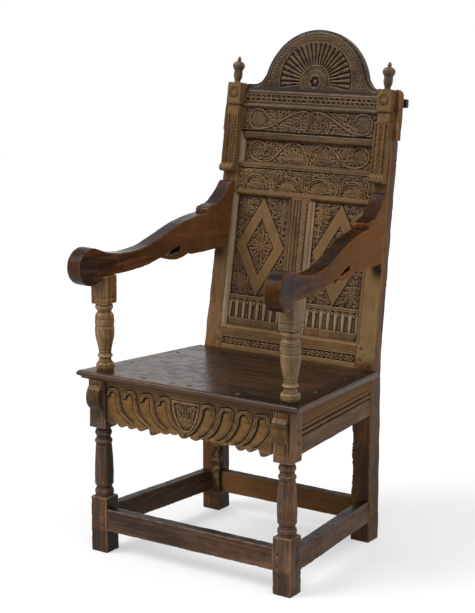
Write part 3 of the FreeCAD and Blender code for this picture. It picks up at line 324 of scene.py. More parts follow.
    def marks(self):
        """How recessed and how worn each cell is, from its height against what is round it."""
        wide = blur(self.h, 4.0 / self.cell)
        near = blur(self.h, 1.6 / self.cell)
        # hollow is later darkened as painted shade in the recesses
        hollow = np.clip((wide - self.h) / 1.7, 0, 1) * 0.75 + np.clip((near - self.h) / 0.7, 0, 1) * 0.5
        proud = np.clip((self.h - near) / 0.55, 0, 1)
        return np.clip(hollow, 0, 1), proud


def new_piece(name, verts, faces, marks=None):
    """A mesh object; faces is a list of arrays, each of faces with a like number of corners."""
    mesh = bpy.data.meshes.new(name)
    mesh.vertices.add(len(verts))
    mesh.vertices.foreach_set("co", np.asarray(verts, np.float32).ravel())
    loops = np.concatenate([f.ravel() for f in faces]).astype(np.int32)
    sizes = np.concatenate([np.full(len(f), f.shape[1]) for f in faces])
    mesh.loops.add(len(loops))
    mesh.loops.foreach_set("vertex_index", loops)
    mesh.polygons.add(len(sizes))
    mesh.polygons.foreach_set("loop_start", np.concatenate([[0], np.cumsum(sizes)[:-1]]).astype(np.int32))
    mesh.update(calc_edges=True)
    mesh.validate()
    obj = bpy.data.objects.new(name, mesh)
    bpy.context.scene.collection.objects.link(obj)
    for key, values in (marks or {}).items():
        put(obj, key, values)
    return obj


def put(obj, key, values):
    """Stores a mark at the vertices, for the material to read."""
    data = obj.data.attributes.get(key) or obj.data.attributes.new(key, "FLOAT", "POINT")
    data.data.foreach_set("value", np.asarray(values, np.float32))


def relief_piece(name, nodes, canvas, place, depth, face=0.0, outline=None):
    """The canvas as a solid board: carved front, sides, and a flat back at depth.
    outline gives the lower and the upper edge of the board at places across, where they aren't straight."""
    hollow, proud = canvas.marks()
    u, v, h, dark, pale = canvas.u, canvas.v, canvas.h, canvas.dark, canvas.pale
    if outline is not None:
        us, lows, tops = outline["across"], outline["low"], outline["top"]
        rows = len(canvas.vs)
        share = np.linspace(0, 1, rows)[:, None]
        u = np.tile(us, (rows, 1))
        v = lows[None, :] + (tops - lows)[None, :] * share
        h, hollow, proud, dark, pale = (sampled(canvas, f, u, v)[0] for f in (h, hollow, proud, dark, pale))
    rows, cols = u.shape
    index = np.arange(rows * cols).reshape(rows, cols)
    quads = np.stack([index[:-1, :-1], index[:-1, 1:], index[1:, 1:], index[1:, :-1]], -1).reshape(-1, 4)
    rim = np.concatenate([index[0, :], index[1:, -1], index[-1, -2::-1], index[-2:0:-1, 0]])
    base = rows * cols
    rings = [0.12, 0.5, 1.0]
    flat_u, flat_v, flat_d = u.ravel(), v.ravel(), (face - h).ravel()
    all_u, all_v, all_d = [flat_u], [flat_v], [flat_d]
    skirts, last = [], rim
    for share in rings:
        ring = base + np.arange(len(rim))
        base += len(rim)
        all_u.append(flat_u[rim])
        all_v.append(flat_v[rim])
        all_d.append(flat_d[rim] + (depth - flat_d[rim]) * share)
        skirts.append(np.stack([last, ring, np.roll(ring, -1), np.roll(last, -1)], -1))
        last = ring
    x, y, z = place(np.concatenate(all_u), np.concatenate(all_d), np.concatenate(all_v))
    verts = np.column_stack([x, y, z])
    extra = len(rim) * len(rings)
    marks = {key: np.concatenate([field.ravel(), np.full(extra, beside)])
             for key, field, beside in (("hollow", hollow, 0.12), ("worn", proud, 0), ("dark", dark, 0),
                                        ("pale", pale, 0))}
    obj = new_piece(name, verts, [quads] + skirts + [last[::-1][None, :]], marks)
    obj.data.shade_smooth()
    obj.data.set_sharp_from_angle(angle=math.radians(55))
    return own(obj, nodes)


def own(obj, nodes):
    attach(obj, "root")
    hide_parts(*nodes)
    return obj


# Plain pieces, worn from the frame's own

def sampled(canvas, field, u, v):
    """Values of a field at places on its canvas, and which of the places are on it."""
    x = (u - canvas.us[0]) / (canvas.us[1] - canvas.us[0])
    y = (v - canvas.vs[0]) / (canvas.vs[1] - canvas.vs[0])
    on = (x >= 0) & (x <= field.shape[1] - 1) & (y >= 0) & (y <= field.shape[0] - 1)
    x, y = np.clip(x, 0, field.shape[1] - 1.001), np.clip(y, 0, field.shape[0] - 1.001)
    i, j = y.astype(int), x.astype(int)
    a, b = y - i, x - j
    return ((field[i, j] * (1 - b) + field[i, j + 1] * b) * (1 - a)
            + (field[i + 1, j] * (1 - b) + field[i + 1, j + 1] * b) * a), on


def remeshed(node, voxel):
    """A copy of a CAD node in even cells of a size in millimetres."""
    copy = frame["nodes"][node].copy()
    copy.data = frame["nodes"][node].data.copy()
    copy.parent = None
    bpy.context.scene.collection.objects.link(copy)
    remesh = copy.modifiers.new("remesh", "REMESH")
    remesh.mode = "VOXEL"
    remesh.voxel_size = voxel * MM
    bpy.context.view_layer.update()
    mesh = bpy.data.meshes.new_from_object(copy.evaluated_get(bpy.context.evaluated_depsgraph_get()))
    bpy.data.objects.remove(copy)
    mesh.materials.clear()
    obj = bpy.data.objects.new(node + "_worn", mesh)
    bpy.context.scene.collection.objects.link(obj)
    return obj


def vectors(mesh, key):
    """The places or the normals of a mesh's vertices."""
    values = np.zeros(len(mesh.vertices) * 3)
    mesh.vertices.foreach_get(key, values)
    return values.reshape(-1, 3)


def averaging(mesh):
    """A function that gives each vertex the mean of a value over its neighbours."""
    ends = np.zeros(len(mesh.edges) * 2, np.int64)
    mesh.edges.foreach_get("vertices", ends)
    a, b = ends.reshape(-1, 2).T
    size = len(mesh.vertices)
    count = np.maximum(np.bincount(a, minlength=size) + np.bincount(b, minlength=size), 1)

    def mean_round(values):
        if values.ndim == 2:
            return np.column_stack([mean_round(column) for column in values.T])
        return (np.bincount(a, values[b], size) + np.bincount(b, values[a], size)) / count
    return mean_round


def aged(node, voxel, seed, wobble=0.25, chips=0.8, soften=2, dark=None, pale=None, lines=(),
         gnawed=None, scored=None, carving=None):
    """A worn copy of a CAD node: its arrises rounded, its faces slightly uneven, and where it has
    a canvas of carving, that cut into the face that looks along the back's normal. lines are heights (mm)
    of cuts round a turned part, scored says where a face is cut, and gnawed where the wood is eaten away."""
    obj = remeshed(node, voxel)
    mesh = obj.data
    co = vectors(mesh, "co")
    mean_round = averaging(mesh)
    for _ in range(soften):
        co = co + 0.5 * (mean_round(co) - co)
    mesh.vertices.foreach_set("co", co.ravel())
    mesh.update()
    normals = vectors(mesh, "normal")
    wide = co
    for _ in range(4):
        wide = mean_round(wide)
    bend = np.einsum("ij,ij->i", co - wide, normals) / (voxel * MM)
    for _ in range(2):
        bend = mean_round(bend)
    # hollow: concave places, darkened later as painted shade in creases and cuts
    proud, hollow = np.clip(bend * 2.4 - 0.12, 0, 1), np.clip(-bend * 2.6, 0, 1)
    bites = np.clip(waves(co, 0.016, seed + 5) + 0.6 * waves(co, 0.05, seed + 6) - 1.35, 0, 1)
    push = wobble * waves(co, 0.07, seed + 1) + 0.35 * wobble * waves(co, 0.02, seed + 2)
    push -= chips * bites * np.clip(proud * 2, 0, 1)
    for height in lines:
        cut = bell(co[:, 2] / MM - height, 1.1)
        push -= 0.9 * cut
        hollow = np.maximum(hollow, 0.75 * cut)
    if scored is not None:
        cut = scored(co, normals)
        push -= 1.7 * cut
        hollow = np.maximum(hollow, 0.95 * np.clip(cut, 0, 1))
    if gnawed is not None:
        patches = 0.7 + 0.6 * waves(co, 0.03, seed + 7) + 0.3 * waves(co, 0.01, seed + 8)
        eaten = gnawed(co) * np.clip(patches, 0, 1.6)
        push -= 5.0 * eaten
        hollow = np.maximum(hollow, 0.5 * np.clip(eaten * waves(co, 0.008, seed + 9), 0, 1))
    if carving is not None:
        front = np.array([0.0, -math.cos(LEAN), math.sin(LEAN)])
        y, z = co[:, 1] - FRONT - BACK_FRONT * MM, co[:, 2] - BACK_LOW * MM
        place = co[:, 0] / MM, (y * math.sin(LEAN) + z * math.cos(LEAN)) / MM
        depth, on = sampled(carving, carving.h, *place)
        facing = np.clip((normals @ front - 0.75) / 0.2, 0, 1) * on
        marks = [sampled(carving, m, *place)[0] * facing for m in carving.marks()]
        hollow, proud = np.maximum(hollow, marks[0]), np.maximum(proud * (1 - 0.5 * facing), marks[1])
        co = co + front * (depth * facing * MM)[:, None]
    co = co + normals * (push * MM)[:, None]
    co[:, 2] = np.maximum(co[:, 2], 0)
    mesh.vertices.foreach_set("co", co.ravel())
    mesh.update()
    put(obj, "hollow", hollow)
    put(obj, "worn", proud)
    for key, shade in (("dark", dark), ("pale", pale)):
        if shade is not None:
            put(obj, key, np.clip(shade(co, normals), 0, 2))
    mesh.shade_smooth()
    return own(obj, [node])


# Oak

def srgb(*colour):
    """A colour of the screen (0-255) as a node takes it."""
    linear = [c / 255 / 12.92 if c <= 10.3 else ((c / 255 + 0.055) / 1.055) ** 2.4 for c in colour]
    return (*linear, 1.0)


class Nodes:
    """Builds the node tree of a material or of the world."""

    def __init__(self, owner):
        owner.use_nodes = True
        self.tree = owner.node_tree
        self.tree.nodes.clear()

    def node(self, kind, inputs=None, **settings):
        made = self.tree.nodes.new(kind)
        for key, value in settings.items():
            setattr(made, key, value)
        for key, value in (inputs or {}).items():
            socket = made.inputs[key]
            if isinstance(value, bpy.types.NodeSocket):
                self.tree.links.new(value, socket)
            else:
                socket.default_value = value
        return made

    def out(self, kind, inputs=None, socket=0, **settings):
        return self.node(kind, inputs, **settings).outputs[socket]

    def math(self, kind, a, b, clamp=False):
        return self.out("ShaderNodeMath", {0: a, 1: b}, operation=kind, use_clamp=clamp)

    def plus(self, a, b):
        return self.math("ADD", a, b)

    def minus(self, a, b, clamp=False):
        return self.math("SUBTRACT", a, b, clamp)

    def times(self, a, b, clamp=False):
        return self.math("MULTIPLY", a, b, clamp)

    def mix(self, factor, a, b, blend="MIX"):
        return self.out("ShaderNodeMix", {0: factor, 6: a, 7: b}, 2, data_type="RGBA", blend_type=blend)

    def spread(self, value, low, high, to_low=0.0, to_high=1.0):
        return self.out("ShaderNodeMapRange", {"Value": value, "From Min": low, "From Max": high,
                                               "To Min": to_low, "To Max": to_high},
                        interpolation_type="SMOOTHSTEP")

    def noise(self, vector, scale, detail=3.0, roughness=0.55, distortion=0.0):
        return self.out("ShaderNodeTexNoise", {"Vector": vector, "Scale": scale, "Detail": detail,
                                               "Roughness": roughness, "Distortion": distortion}, "Fac")

    def mark(self, name):
        return self.out("ShaderNodeAttribute", socket="Fac", attribute_name=name)

    def seen(self):
        """1 where the camera looks, also in a reflection or through a clear thing, and else 0."""
        path = self.node("ShaderNodeLightPath").outputs
        shown = self.math("MAXIMUM", path["Is Camera Ray"], path["Is Glossy Ray"])
        return self.math("MAXIMUM", shown, path["Is Transmission Ray"])


def oak(name, wood, along, lean, gloss, grain=1.0, shine=0.12, bleach=(122, 101, 74), polish=0.12, rough=1.0):
    """Old oak: wood is its deep, middle and light colour (0-255), and along is the way of the grain."""
    deep, body, light = wood
    material = bpy.data.materials.new(name)
    made = Nodes(material)
    place = made.out("ShaderNodeTexCoord", socket="Object")
    turned = made.out("ShaderNodeMapping", {"Vector": place, "Rotation": (lean, 0, 0)})
    shares = {"x": (0.045, 1, 1), "y": (1, 0.045, 1), "z": (1, 1, 0.045)}[along]
    fibre = made.out("ShaderNodeMapping", {"Vector": turned, "Scale": shares})
    loose = made.out("ShaderNodeMapping", {"Vector": turned, "Scale": tuple(s ** 0.6 for s in shares)})

    broad = made.noise(loose, 22.0, 4.0, 0.6, 0.6)
    streak = made.noise(fibre, 130.0, 4.0, 0.6, 0.3)
    thread = made.noise(fibre, 620.0, 3.0, 0.6)
    pores = made.spread(made.noise(fibre, 900.0, 2.0, 0.5), 0.56, 0.68)
    cloud = made.noise(turned, 9.0, 4.0, 0.6)
    blotch = made.noise(turned, 38.0, 5.0, 0.65)
    worn, hollow, pale, dark = (made.mark(key) for key in ("worn", "hollow", "pale", "dark"))

    tone = made.spread(made.plus(made.times(broad, 0.5), made.times(streak, 0.5)), 0.36, 0.64)
    colour = made.mix(made.spread(tone, 0.0, 0.55), srgb(*deep), srgb(*body))
    colour = made.mix(made.spread(tone, 0.5, 1.0), colour, srgb(*light))
    shade = made.spread(cloud, 0.3, 0.7, 0.74, 1.2)
    shade = made.times(shade, made.spread(blotch, 0.3, 0.7, 0.86, 1.12))
    shade = made.times(shade, made.spread(thread, 0.3, 0.7, 1 - 0.16 * grain, 1 + 0.12 * grain))
    shade = made.times(shade, made.spread(pores, 0, 1, 1.0, 1 - 0.38 * grain))
    grey = made.out("ShaderNodeCombineColor", {0: shade, 1: shade, 2: shade})
    colour = made.mix(1.0, colour, grey, "MULTIPLY")
    warmth = made.spread(made.noise(loose, 11.0, 3.0, 0.55), 0.34, 0.64)
    tint = made.mix(warmth, (0.90, 0.96, 1.02, 1), (1.20, 1.02, 0.84, 1))
    colour = made.mix(1.0, colour, tint, "MULTIPLY")

    # rubbed and bleached places, painted shade in hollows, and the dark mark, which is grime and painted
    # shade
    sheen = made.times(worn, made.spread(blotch, 0.34, 0.6, 0.25, 1.0))
    colour = made.mix(made.times(sheen, 0.7, clamp=True), colour, srgb(*(c * 1.38 + 10 for c in light)))
    patchy = made.spread(blotch, 0.3, 0.7, 0.6, 1.0)
    colour = made.mix(made.times(pale, patchy, clamp=True), colour, srgb(*bleach))
    bone = made.times(made.minus(pale, 1.0, clamp=True), patchy, clamp=True)
    colour = made.mix(bone, colour, srgb(156, 138, 112))
    # painted shade in hollows and cuts
    colour = made.mix(made.times(hollow, 0.92, clamp=True), colour, srgb(*(c * 0.34 for c in deep)))
    # the dark mark: grime in some places, painted shade in others
    grime_and_painted_shade = made.times(dark, made.spread(cloud, 0.25, 0.6, 0.8, 1.0), clamp=True)
    grime_and_painted_shade = made.times(grime_and_painted_shade, made.minus(1.0, made.times(sheen, 0.6)))
    colour = made.mix(grime_and_painted_shade, colour, srgb(*(c * 0.42 for c in deep)))

    matt = made.spread(blotch, 0.3, 0.7, gloss - 0.08, gloss + 0.12)
    matt = made.plus(matt, made.times(pores, 0.12))
    matt = made.plus(matt, made.times(hollow, 0.25))
    matt = made.minus(matt, made.times(worn, 0.12))
    matt = made.plus(matt, made.times(pale, 0.2))
    matt = made.minus(matt, made.times(dark, polish), clamp=True)
    rise = made.plus(made.times(thread, 0.35), made.times(streak, 0.5))
    rise = made.minus(rise, made.times(pores, 0.45))
    rise = made.plus(rise, made.times(made.noise(turned, 160.0, 3.0, 0.6), 0.5))
    bump = made.out("ShaderNodeBump", {"Height": rise, "Strength": 0.5 * rough, "Distance": 0.0006})
    shader = made.out("ShaderNodeBsdfPrincipled", {"Base Color": colour, "Roughness": matt, "Normal": bump,
                                                   "Specular IOR Level": shine})
    made.node("ShaderNodeOutputMaterial", {"Surface": shader})
    return material


def dress(obj, material):
    """Gives a piece its material."""
    obj.data.materials.clear()
    obj.data.materials.append(material)


TONES = {
    "legs": dict(wood=((62, 47, 37), (86, 67, 54), (107, 87, 72)), gloss=0.46, bleach=(150, 106, 64)),
    "rails": dict(wood=((58, 41, 29), (79, 58, 42), (98, 76, 56)), gloss=0.48, bleach=(110, 80, 48)),
    "supports": dict(wood=((82, 56, 32), (120, 89, 53), (152, 121, 82)), gloss=0.34, shine=0.22),
    "arms": dict(wood=((40, 24, 15), (72, 44, 26), (104, 67, 40)), gloss=0.36, shine=0.09,
                 bleach=(112, 74, 42), polish=0.22, rough=0.5),
    "outer": dict(wood=((42, 22, 8), (74, 38, 12), (104, 60, 20)), gloss=0.40, shine=0.07,
                  bleach=(116, 75, 24), polish=0.18, rough=0.5),
    "seat": dict(wood=((33, 22, 16), (45, 31, 22), (62, 44, 32)), gloss=0.24, shine=0.16,
                 bleach=(96, 70, 43), polish=0.05, grain=0.9, rough=0.15),
    "apron": dict(wood=((68, 47, 27), (92, 68, 41), (112, 88, 60)), gloss=0.42, bleach=(122, 90, 52)),
    "posts": dict(wood=((74, 48, 27), (97, 65, 38), (115, 83, 52)), gloss=0.44, bleach=(126, 101, 68)),
    "rear": dict(wood=((76, 50, 28), (102, 70, 42), (120, 88, 56)), gloss=0.5, bleach=(124, 86, 50)),
    "back": dict(wood=((62, 43, 25), (86, 64, 40), (104, 81, 54)), gloss=0.44, shine=0.16,
                 bleach=(116, 86, 52)),
    "upper": dict(wood=((54, 39, 24), (76, 58, 38), (92, 73, 50)), gloss=0.44, shine=0.16,
                  bleach=(102, 78, 49)),
    "pegs": dict(wood=((70, 53, 40), (94, 73, 56), (112, 90, 70)), gloss=0.5),
}
MADE = {}


def tone(which, along, lean=0.0, **more):
    """One of the tones of oak, made once for each way of the grain and finish."""
    key = "_".join(["oak", which, along] + (["lean"] if lean else []) + sorted(more))
    if key not in MADE:
        MADE[key] = oak(key, along=along, lean=lean, **{**TONES[which], **more})
    return MADE[key]


# Carving of the back

HALF = 196.0             # half the width between the posts, where their inner faces are
POST = 234.5             # the outer face of a post
MUNTIN = 32.5            # half the width of the muntin
PANELS = 62.0, 389.0     # lower and upper edge of the openings of the lower panels
RAIL = 25.0              # thickness of rails and muntin, whose faces lie level with the posts
PANEL_FACE = 8.0         # the uncut face and the back of a panel, behind the face of the posts
PANEL_BACK = 17.0
CORNERS = ((-1, -1), (-1, 1), (1, -1), (1, 1))


def opening_bevels(canvas):
    """What a rail loses along the openings of the lower panels: its arris is cut back at 45 degrees."""
    bevel = 7.0
    low, high = PANELS
    for u0, u1 in ((-HALF - 20, -MUNTIN), (MUNTIN, HALF + 20)):
        beside = np.maximum(u0 - canvas.u, canvas.u - u1)
        out = np.maximum(beside, np.maximum(low - canvas.v, canvas.v - high))
        canvas.h = np.minimum(canvas.h, np.where(out < bevel, -(bevel - np.maximum(out, 0)), canvas.h + 9))


def whorl(c, x, y, turns, bends, size, count=4, at=list):
    """Leaves about a point: the turn of each in degrees, and the reach and turn of its own points."""
    for turn in turns:
        points = [polar(x, y, reach, math.radians(turn) + more, *rise) for reach, more, *rise in bends]
        c.leaf(smooth_line(at(points), count), *size)


def hatching(c):
    """Slanted strokes of a knife along a bevel."""
    return strokes(c.v * 0.35 + c.u * 1.9, 5.6)


def scroll_rail():
    """Vines between two leafy rings, with a pair of ovals in the middle, on a ground of small leaves."""
    c = Canvas(-HALF, HALF, 550, 611, ground=-3.4)
    c.sink(-191, 191, 553.5, 609.5)
    c.thicket(21)
    for side in (-1, 1):
        def at(points):
            return [(3 + side * x, y) for x, y in points]
        whorl(c, 151, 583, range(9, 360, 40), ((6, 0), (13, 0.35), (20, 0.95)), (3.4, -0.6), at=at)
        c.rosette(3 + side * 151, 583, 8, 6, -0.2)
        curl = [polar(151, 583, 25.5, t, 25.0) for t in np.linspace(2.9, -1.5, 20)]
        stem = smooth_line(at(curl + [(134, 560), (112, 566), (88, 579), (64, 592), (42, 601.5),
                                      (24, 606.5), (14, 606)]), 5)
        oval = at([polar(14, 584, 11.5, t, 23.0) for t in np.linspace(0, 6.284, 40)])
        hook = smooth_line(at([(14, 561.5), (27, 561), (39, 565), (44, 574), (39, 582), (32, 579),
                               (33, 574)]), 6)
        for line, half in ((hook, 2.4), (stem, 2.9), (oval, 2.4)):
            c.groove(line, half + 2.2, 1.7)
            c.band(line, half, 0.3, 0.2)
            c.groove(line, 0.9, 0.6)
    c.stipple(0.10, 0.7, 5)
    c.finish(11, soft=0.5)
    c.form(c.v < 555, np.minimum(c.h, -5.5))
    # a painted shadow line along the lower edge, above the frieze moulding; the rest a little darker
    c.dark = np.maximum(0.95 * step(6, 3, np.abs(c.v - 551)), 0.16)
    c.pale = 0.2 * (c.h > -0.9)
    return relief_piece("scroll_rail_carved", ["scroll_rail"], c, back_place, RAIL)


def frieze_panel():
    """Leafy rings at the ends, with stems that rise into two arches in the middle."""
    c = Canvas(-HALF + 4, HALF - 4, 466, 545, ground=-3.4)
    c.sink(-181, 181, 476, 529.5)
    c.thicket(22)
    for side in (-1, 1):
        def at(points):
            return [(2 + side * x, y) for x, y in points]
        stem = smooth_line(at([(1, 477), (3, 492), (12, 512), (28, 525), (48, 528), (66, 521), (82, 506),
                               (96, 491), (112, 481), (134, 478), (156, 483), (171, 497), (171, 514),
                               (159, 526), (140, 527), (127, 517), (126, 506)]), 8)
        whorl(c, 46, 480, range(18, 180, 24), ((7, 0, 5), (21, 0.1, 20), (36, 0, 37)), (4.4, -0.7, 4), 5, at)
        whorl(c, 149, 503, range(12, 360, 45), ((5, 0), (11, 0.3), (17, 0.85)), (3.1, -0.8), at=at)
        c.rosette(2 + side * 149, 503, 6.5, 6, -0.5)
        c.groove(stem, 5.0, 1.6)
        c.band(stem, 2.7, 0.2, 0.2)
        c.groove(stem, 0.8, 0.6)
    for x in (-5, 2, 9):
        c.leaf(smooth_line([(2, 500), (x, 514), (2 + (x - 2) * 1.9, 526)], 5), 3.2, -0.6)
    c.stipple(0.10, 0.7, 8)
    c.finish(12, soft=0.5)
    c.pale = 0.25 * (c.h > -0.9)
    return relief_piece("frieze_panel_carved", ["frieze_panel"], c, back_place, PANEL_BACK, PANEL_FACE)


def lunette_rail():
    """Four half-round lunettes on a light band, with reeds between them."""
    c = Canvas(-HALF, HALF, 389, 466, ground=-3.2)
    c.sink(-193, 193, 406.5, 461)
    base, pitch = 408.0, 93.5
    for index in range(4):
        x = 2 + (index - 1.5) * pitch
        whorl(c, x, base, range(10, 180, 20), ((9, 0, 8), (19, 0.12), (28.5, 0)), (4.2, -0.8, 2))
        win = c.window(x - 9, x + 9, base, base + 9)
        r = np.hypot(c.u[win] - x, c.v[win] - base)
        c.lift(win, -0.6 - 1.2 * np.cos(np.arctan2(c.v[win] - base, c.u[win] - x) * 9) ** 2, r < 8.5)
        for radius, half in ((31.6, 1.5), (36.3, 2.0)):
            c.ring(x, base, radius, half, 0.4)
        for side in (-1, 1):
            for k, (away, up) in enumerate(((46.5, 50), (43, 51), (39, 52), (33, 52))):
                c.leaf(smooth_line([(x + side * 42, base + 3 + 4 * k),
                                    (x + side * (43 + 0.02 * away), base + 24 + 3 * k),
                                    (x + side * away, base + up)], 5), 2.4, -0.6)
    c.thicket(24, spacing=7.0, length=9.5, half=2.7)
    c.lines((404.6,), 1.2, 1.4)
    c.lines((394.0,), 0.9, 0.8)
    c.pale = np.where(c.v < 404, 0.75, 0.25 * (c.h > -0.9))
    c.stipple(0.10, 0.6, 9)
    opening_bevels(c)
    c.finish(13)
    return relief_piece("lunette_rail_carved", ["lunette_rail"], c, back_place, RAIL)


def crest_rail():
    """A dark bevel on top, two rows of punched bricks in a frame, and a bold bead below."""
    c = Canvas(-HALF, HALF, 611, 662, ground=-2.6)
    rng = np.random.default_rng(31)
    c.h -= 10.5 * step(651.0, 662.0, c.v)
    c.dark = 0.75 * step(650.0, 653.0, c.v)
    c.lines((624.3, 646.9), 1.1, 1.3)
    for row, middle in enumerate((631.2, 640.4)):
        x = -HALF + 5 + row * 6
        while x < HALF - 6:
            wide = rng.uniform(9.0, 14.5)
            win = c.window(x, x + wide, middle - 4, middle + 4)
            q = np.maximum(np.abs(c.u[win] - x - wide / 2) / (wide / 2 - 1), np.abs(c.v[win] - middle) / 3.1)
            cut = step(1.12, 0.82, q)
            c.h[win] -= 2.6 * cut
            c.darken(rng.uniform(0.05, 0.5) * cut, win)
            if rng.random() < 0.5:
                c.band([(x + 2, middle - 2.4), (x + wide - 2, middle + 2.4)], 0.9, -0.4)
            x += wide + rng.uniform(2.0, 3.0)
    bead_up, bead_half = 616.0, 5.4
    bead = (c.v - bead_up) / bead_half
    c.form(np.abs(bead) < 1, 4.6 * dome(bead) - 0.2)
    c.lines((613.6, 618.4), 0.8, 1.5)
    c.h -= 1.3 * (np.abs(c.v - bead_up) < 4.2) * strokes(c.u + 0.8 * c.v, 4.8)
    c.darken(0.2)
    c.pale = 0.2 * (c.v < 650)
    c.finish(14, wobble=0.15)
    return relief_piece("crest_rail_carved", ["crest_rail"], c, back_place, RAIL)


def bottom_rail():
    """A plain band with two scratched lines over a narrow strip of waves and buds, down behind the seat."""
    c = Canvas(-HALF, HALF, -16.5, 62, ground=-2.6)
    c.sink(-194, 194, 11, 29, slope=0.8)
    c.thicket(33, spacing=4.4, length=5, half=1.4, top=-1.2)
    middle, length = 20, 27
    wave = [(x, middle + 5.4 * math.sin(x * 2 * math.pi / length)) for x in np.arange(-193.5, 194, 1.5)]
    c.groove(wave, 3.2, 1.2)
    c.band(wave, 1.7, 0.0, 0.2)
    for index in range(29):
        x = -195.75 + length / 2 * index
        c.rosette(x, middle - 3.6 * math.sin(x * 2 * math.pi / length), 4.2, 5, -0.2)
    c.lines((34.0, 39.5), 0.9, 1.3)
    c.stipple(0.12, 0.6, 15)
    c.pale = 0.7 * ((c.v > 30) | (c.v < 10.5)) + 0.35 * (c.h > -0.9) * (c.v < 30)
    opening_bevels(c)
    c.finish(15)
    c.form(c.v < 2, np.minimum(c.h, c.v * SLOPE - 0.4))
    return relief_piece("bottom_rail_carved", ["back_bottom_rail"], c, back_place, RAIL)


def muntin():
    """Beads up the left side of a rope twist, with hatched bevels to the panels."""
    c = Canvas(-MUNTIN, MUNTIN, *PANELS, cell=0.9, ground=-3.0)
    u = c.u
    # beads and the cuts beside them
    for middle, half, rise in ((-21.5, 4.0, 0.3), (-11.5, 4.2, 0.4), (-3.5, 2.4, -0.4)):
        q = (u - middle) / half
        c.form(np.abs(q) < 1, -2.4 + (2.4 + rise * 0.5) * dome(q))
    for at in (-26.0, -16.8, -6.9, 0.4, 20.8):
        c.groove([(at, PANELS[0]), (at, PANELS[1])], 1.3, 2.0)
    # the rope
    q = (u - 10.5) / 9.4
    twist = np.abs(np.sin((c.v - 1.3 * u) / 10.5 * math.pi)) ** 0.8
    c.form(np.abs(q) < 1, -3.4 + 3.7 * dome(q) * (0.5 + 0.5 * twist))
    # bevels to the panels
    c.h = np.where(u > 22.7, -0.2 - 0.56 * (u - 22.7), np.where(u < -27, -0.9 * (-27 - u), c.h))
    c.h -= 0.7 * hatching(c) * ((u > 23.5) | (u < -27.5))
    c.pale = 1.7 * (u > 23) + 1.2 * ((np.abs(q) < 0.75) & (c.h > -1.4)) + 0.5 * ((u < -17.5) & (u > -25))
    c.finish(16, soft=0.5)
    return relief_piece("muntin_carved", ["back_muntin"], c, back_place, RAIL)


def corner_flowers(c, cx, cy):
    """Flowers in the four corners, with sprigs along the outer edges and up to the points."""
    for dx, dy in CORNERS:
        def corner(x, y):
            return cx + dx * x, cy + dy * y
        for out, rise, half in ((61, 66, 4.4), (67, 48, 4.2), (71, 32, 3.6), (73.5, 18, 2.8)):
            for way in (-1, 1):
                c.leaf(smooth_line([corner(66, rise + 4), corner(66 + way * 4.5, rise + 10),
                                    corner(66 + way * 8.5 + (out - 66) * 0.4, rise + 20)], 5), half, -0.5, 2)
        fx, fy = corner(52, 93)
        whorl(c, fx, fy, (20, 62, 108, 158, 200, 246, 292, 338), ((8, 0), (16, 0.15), (26, 0.4)),
              (5.4, -0.5, 2))
        for k in range(3):
            c.leaf(smooth_line([corner(38 - k * 10, 104 + k * 4.5), corner(32 - k * 10, 110 + k * 3.5),
                                corner(22 - k * 8, 116 + k * 1.5)], 4), 3.4 - k * 0.5, -0.7)
        c.rosette(fx, fy, 13.0, 7, 0.1, turn=20)


def daisy(c, cx, cy):
    """The daisy in the middle of the lozenge, and its leaves."""
    for k in range(12):
        a = math.radians(k * 30 + 15)
        reach = 13 + 7.5 * abs(math.sin(a))
        c.leaf([polar(cx, cy, 9, a), polar(cx, cy, 9 + reach, a)], 3.4, -0.6)
    for dy, way in CORNERS:
        for points, *size in ((((1.5, 26), (6.5, 34), (6, 43)), 3.6, -0.6, 2),
                              (((1, 40), (2.6, 48), (0, 58)), 2.4, -0.6),
                              (((22, 2), (27, 6), (33, 3)), 3.0, -0.7)):
            c.leaf(smooth_line([(cx + way * x, cy + dy * y) for x, y in points], 5), *size)
    c.rosette(cx, cy, 12.5, 8, 0.2, turn=10)


def nulls(c):
    """Round-headed reeds under a row of small arches."""
    pitch = (HALF - MUNTIN) / 8
    for index in range(8):
        x = MUNTIN + pitch * (index + 0.5)
        c.sink(x - pitch / 2 + 0.2, x + pitch / 2 - 0.2, 80, 129, depth=-2.8, slope=0.8)
        c.band([(x, 119), (x, 82)], 6.4, -0.1, 0.1, taper=lambda t: 1 - 0.38 * t)
        win = c.window(x - pitch / 2, x + pitch / 2, 114, 130)
        r = np.hypot(c.u[win] - x, c.v[win] - 117.5)
        q = np.abs(r - 9.4) / 1.5
        c.lift(win, -2.8 + 2.8 * dome(q), (q < 1) & (c.v[win] > 116))
    c.groove([(36, 133.5), (HALF - 4, 133.5)], 1.0, 1.2)


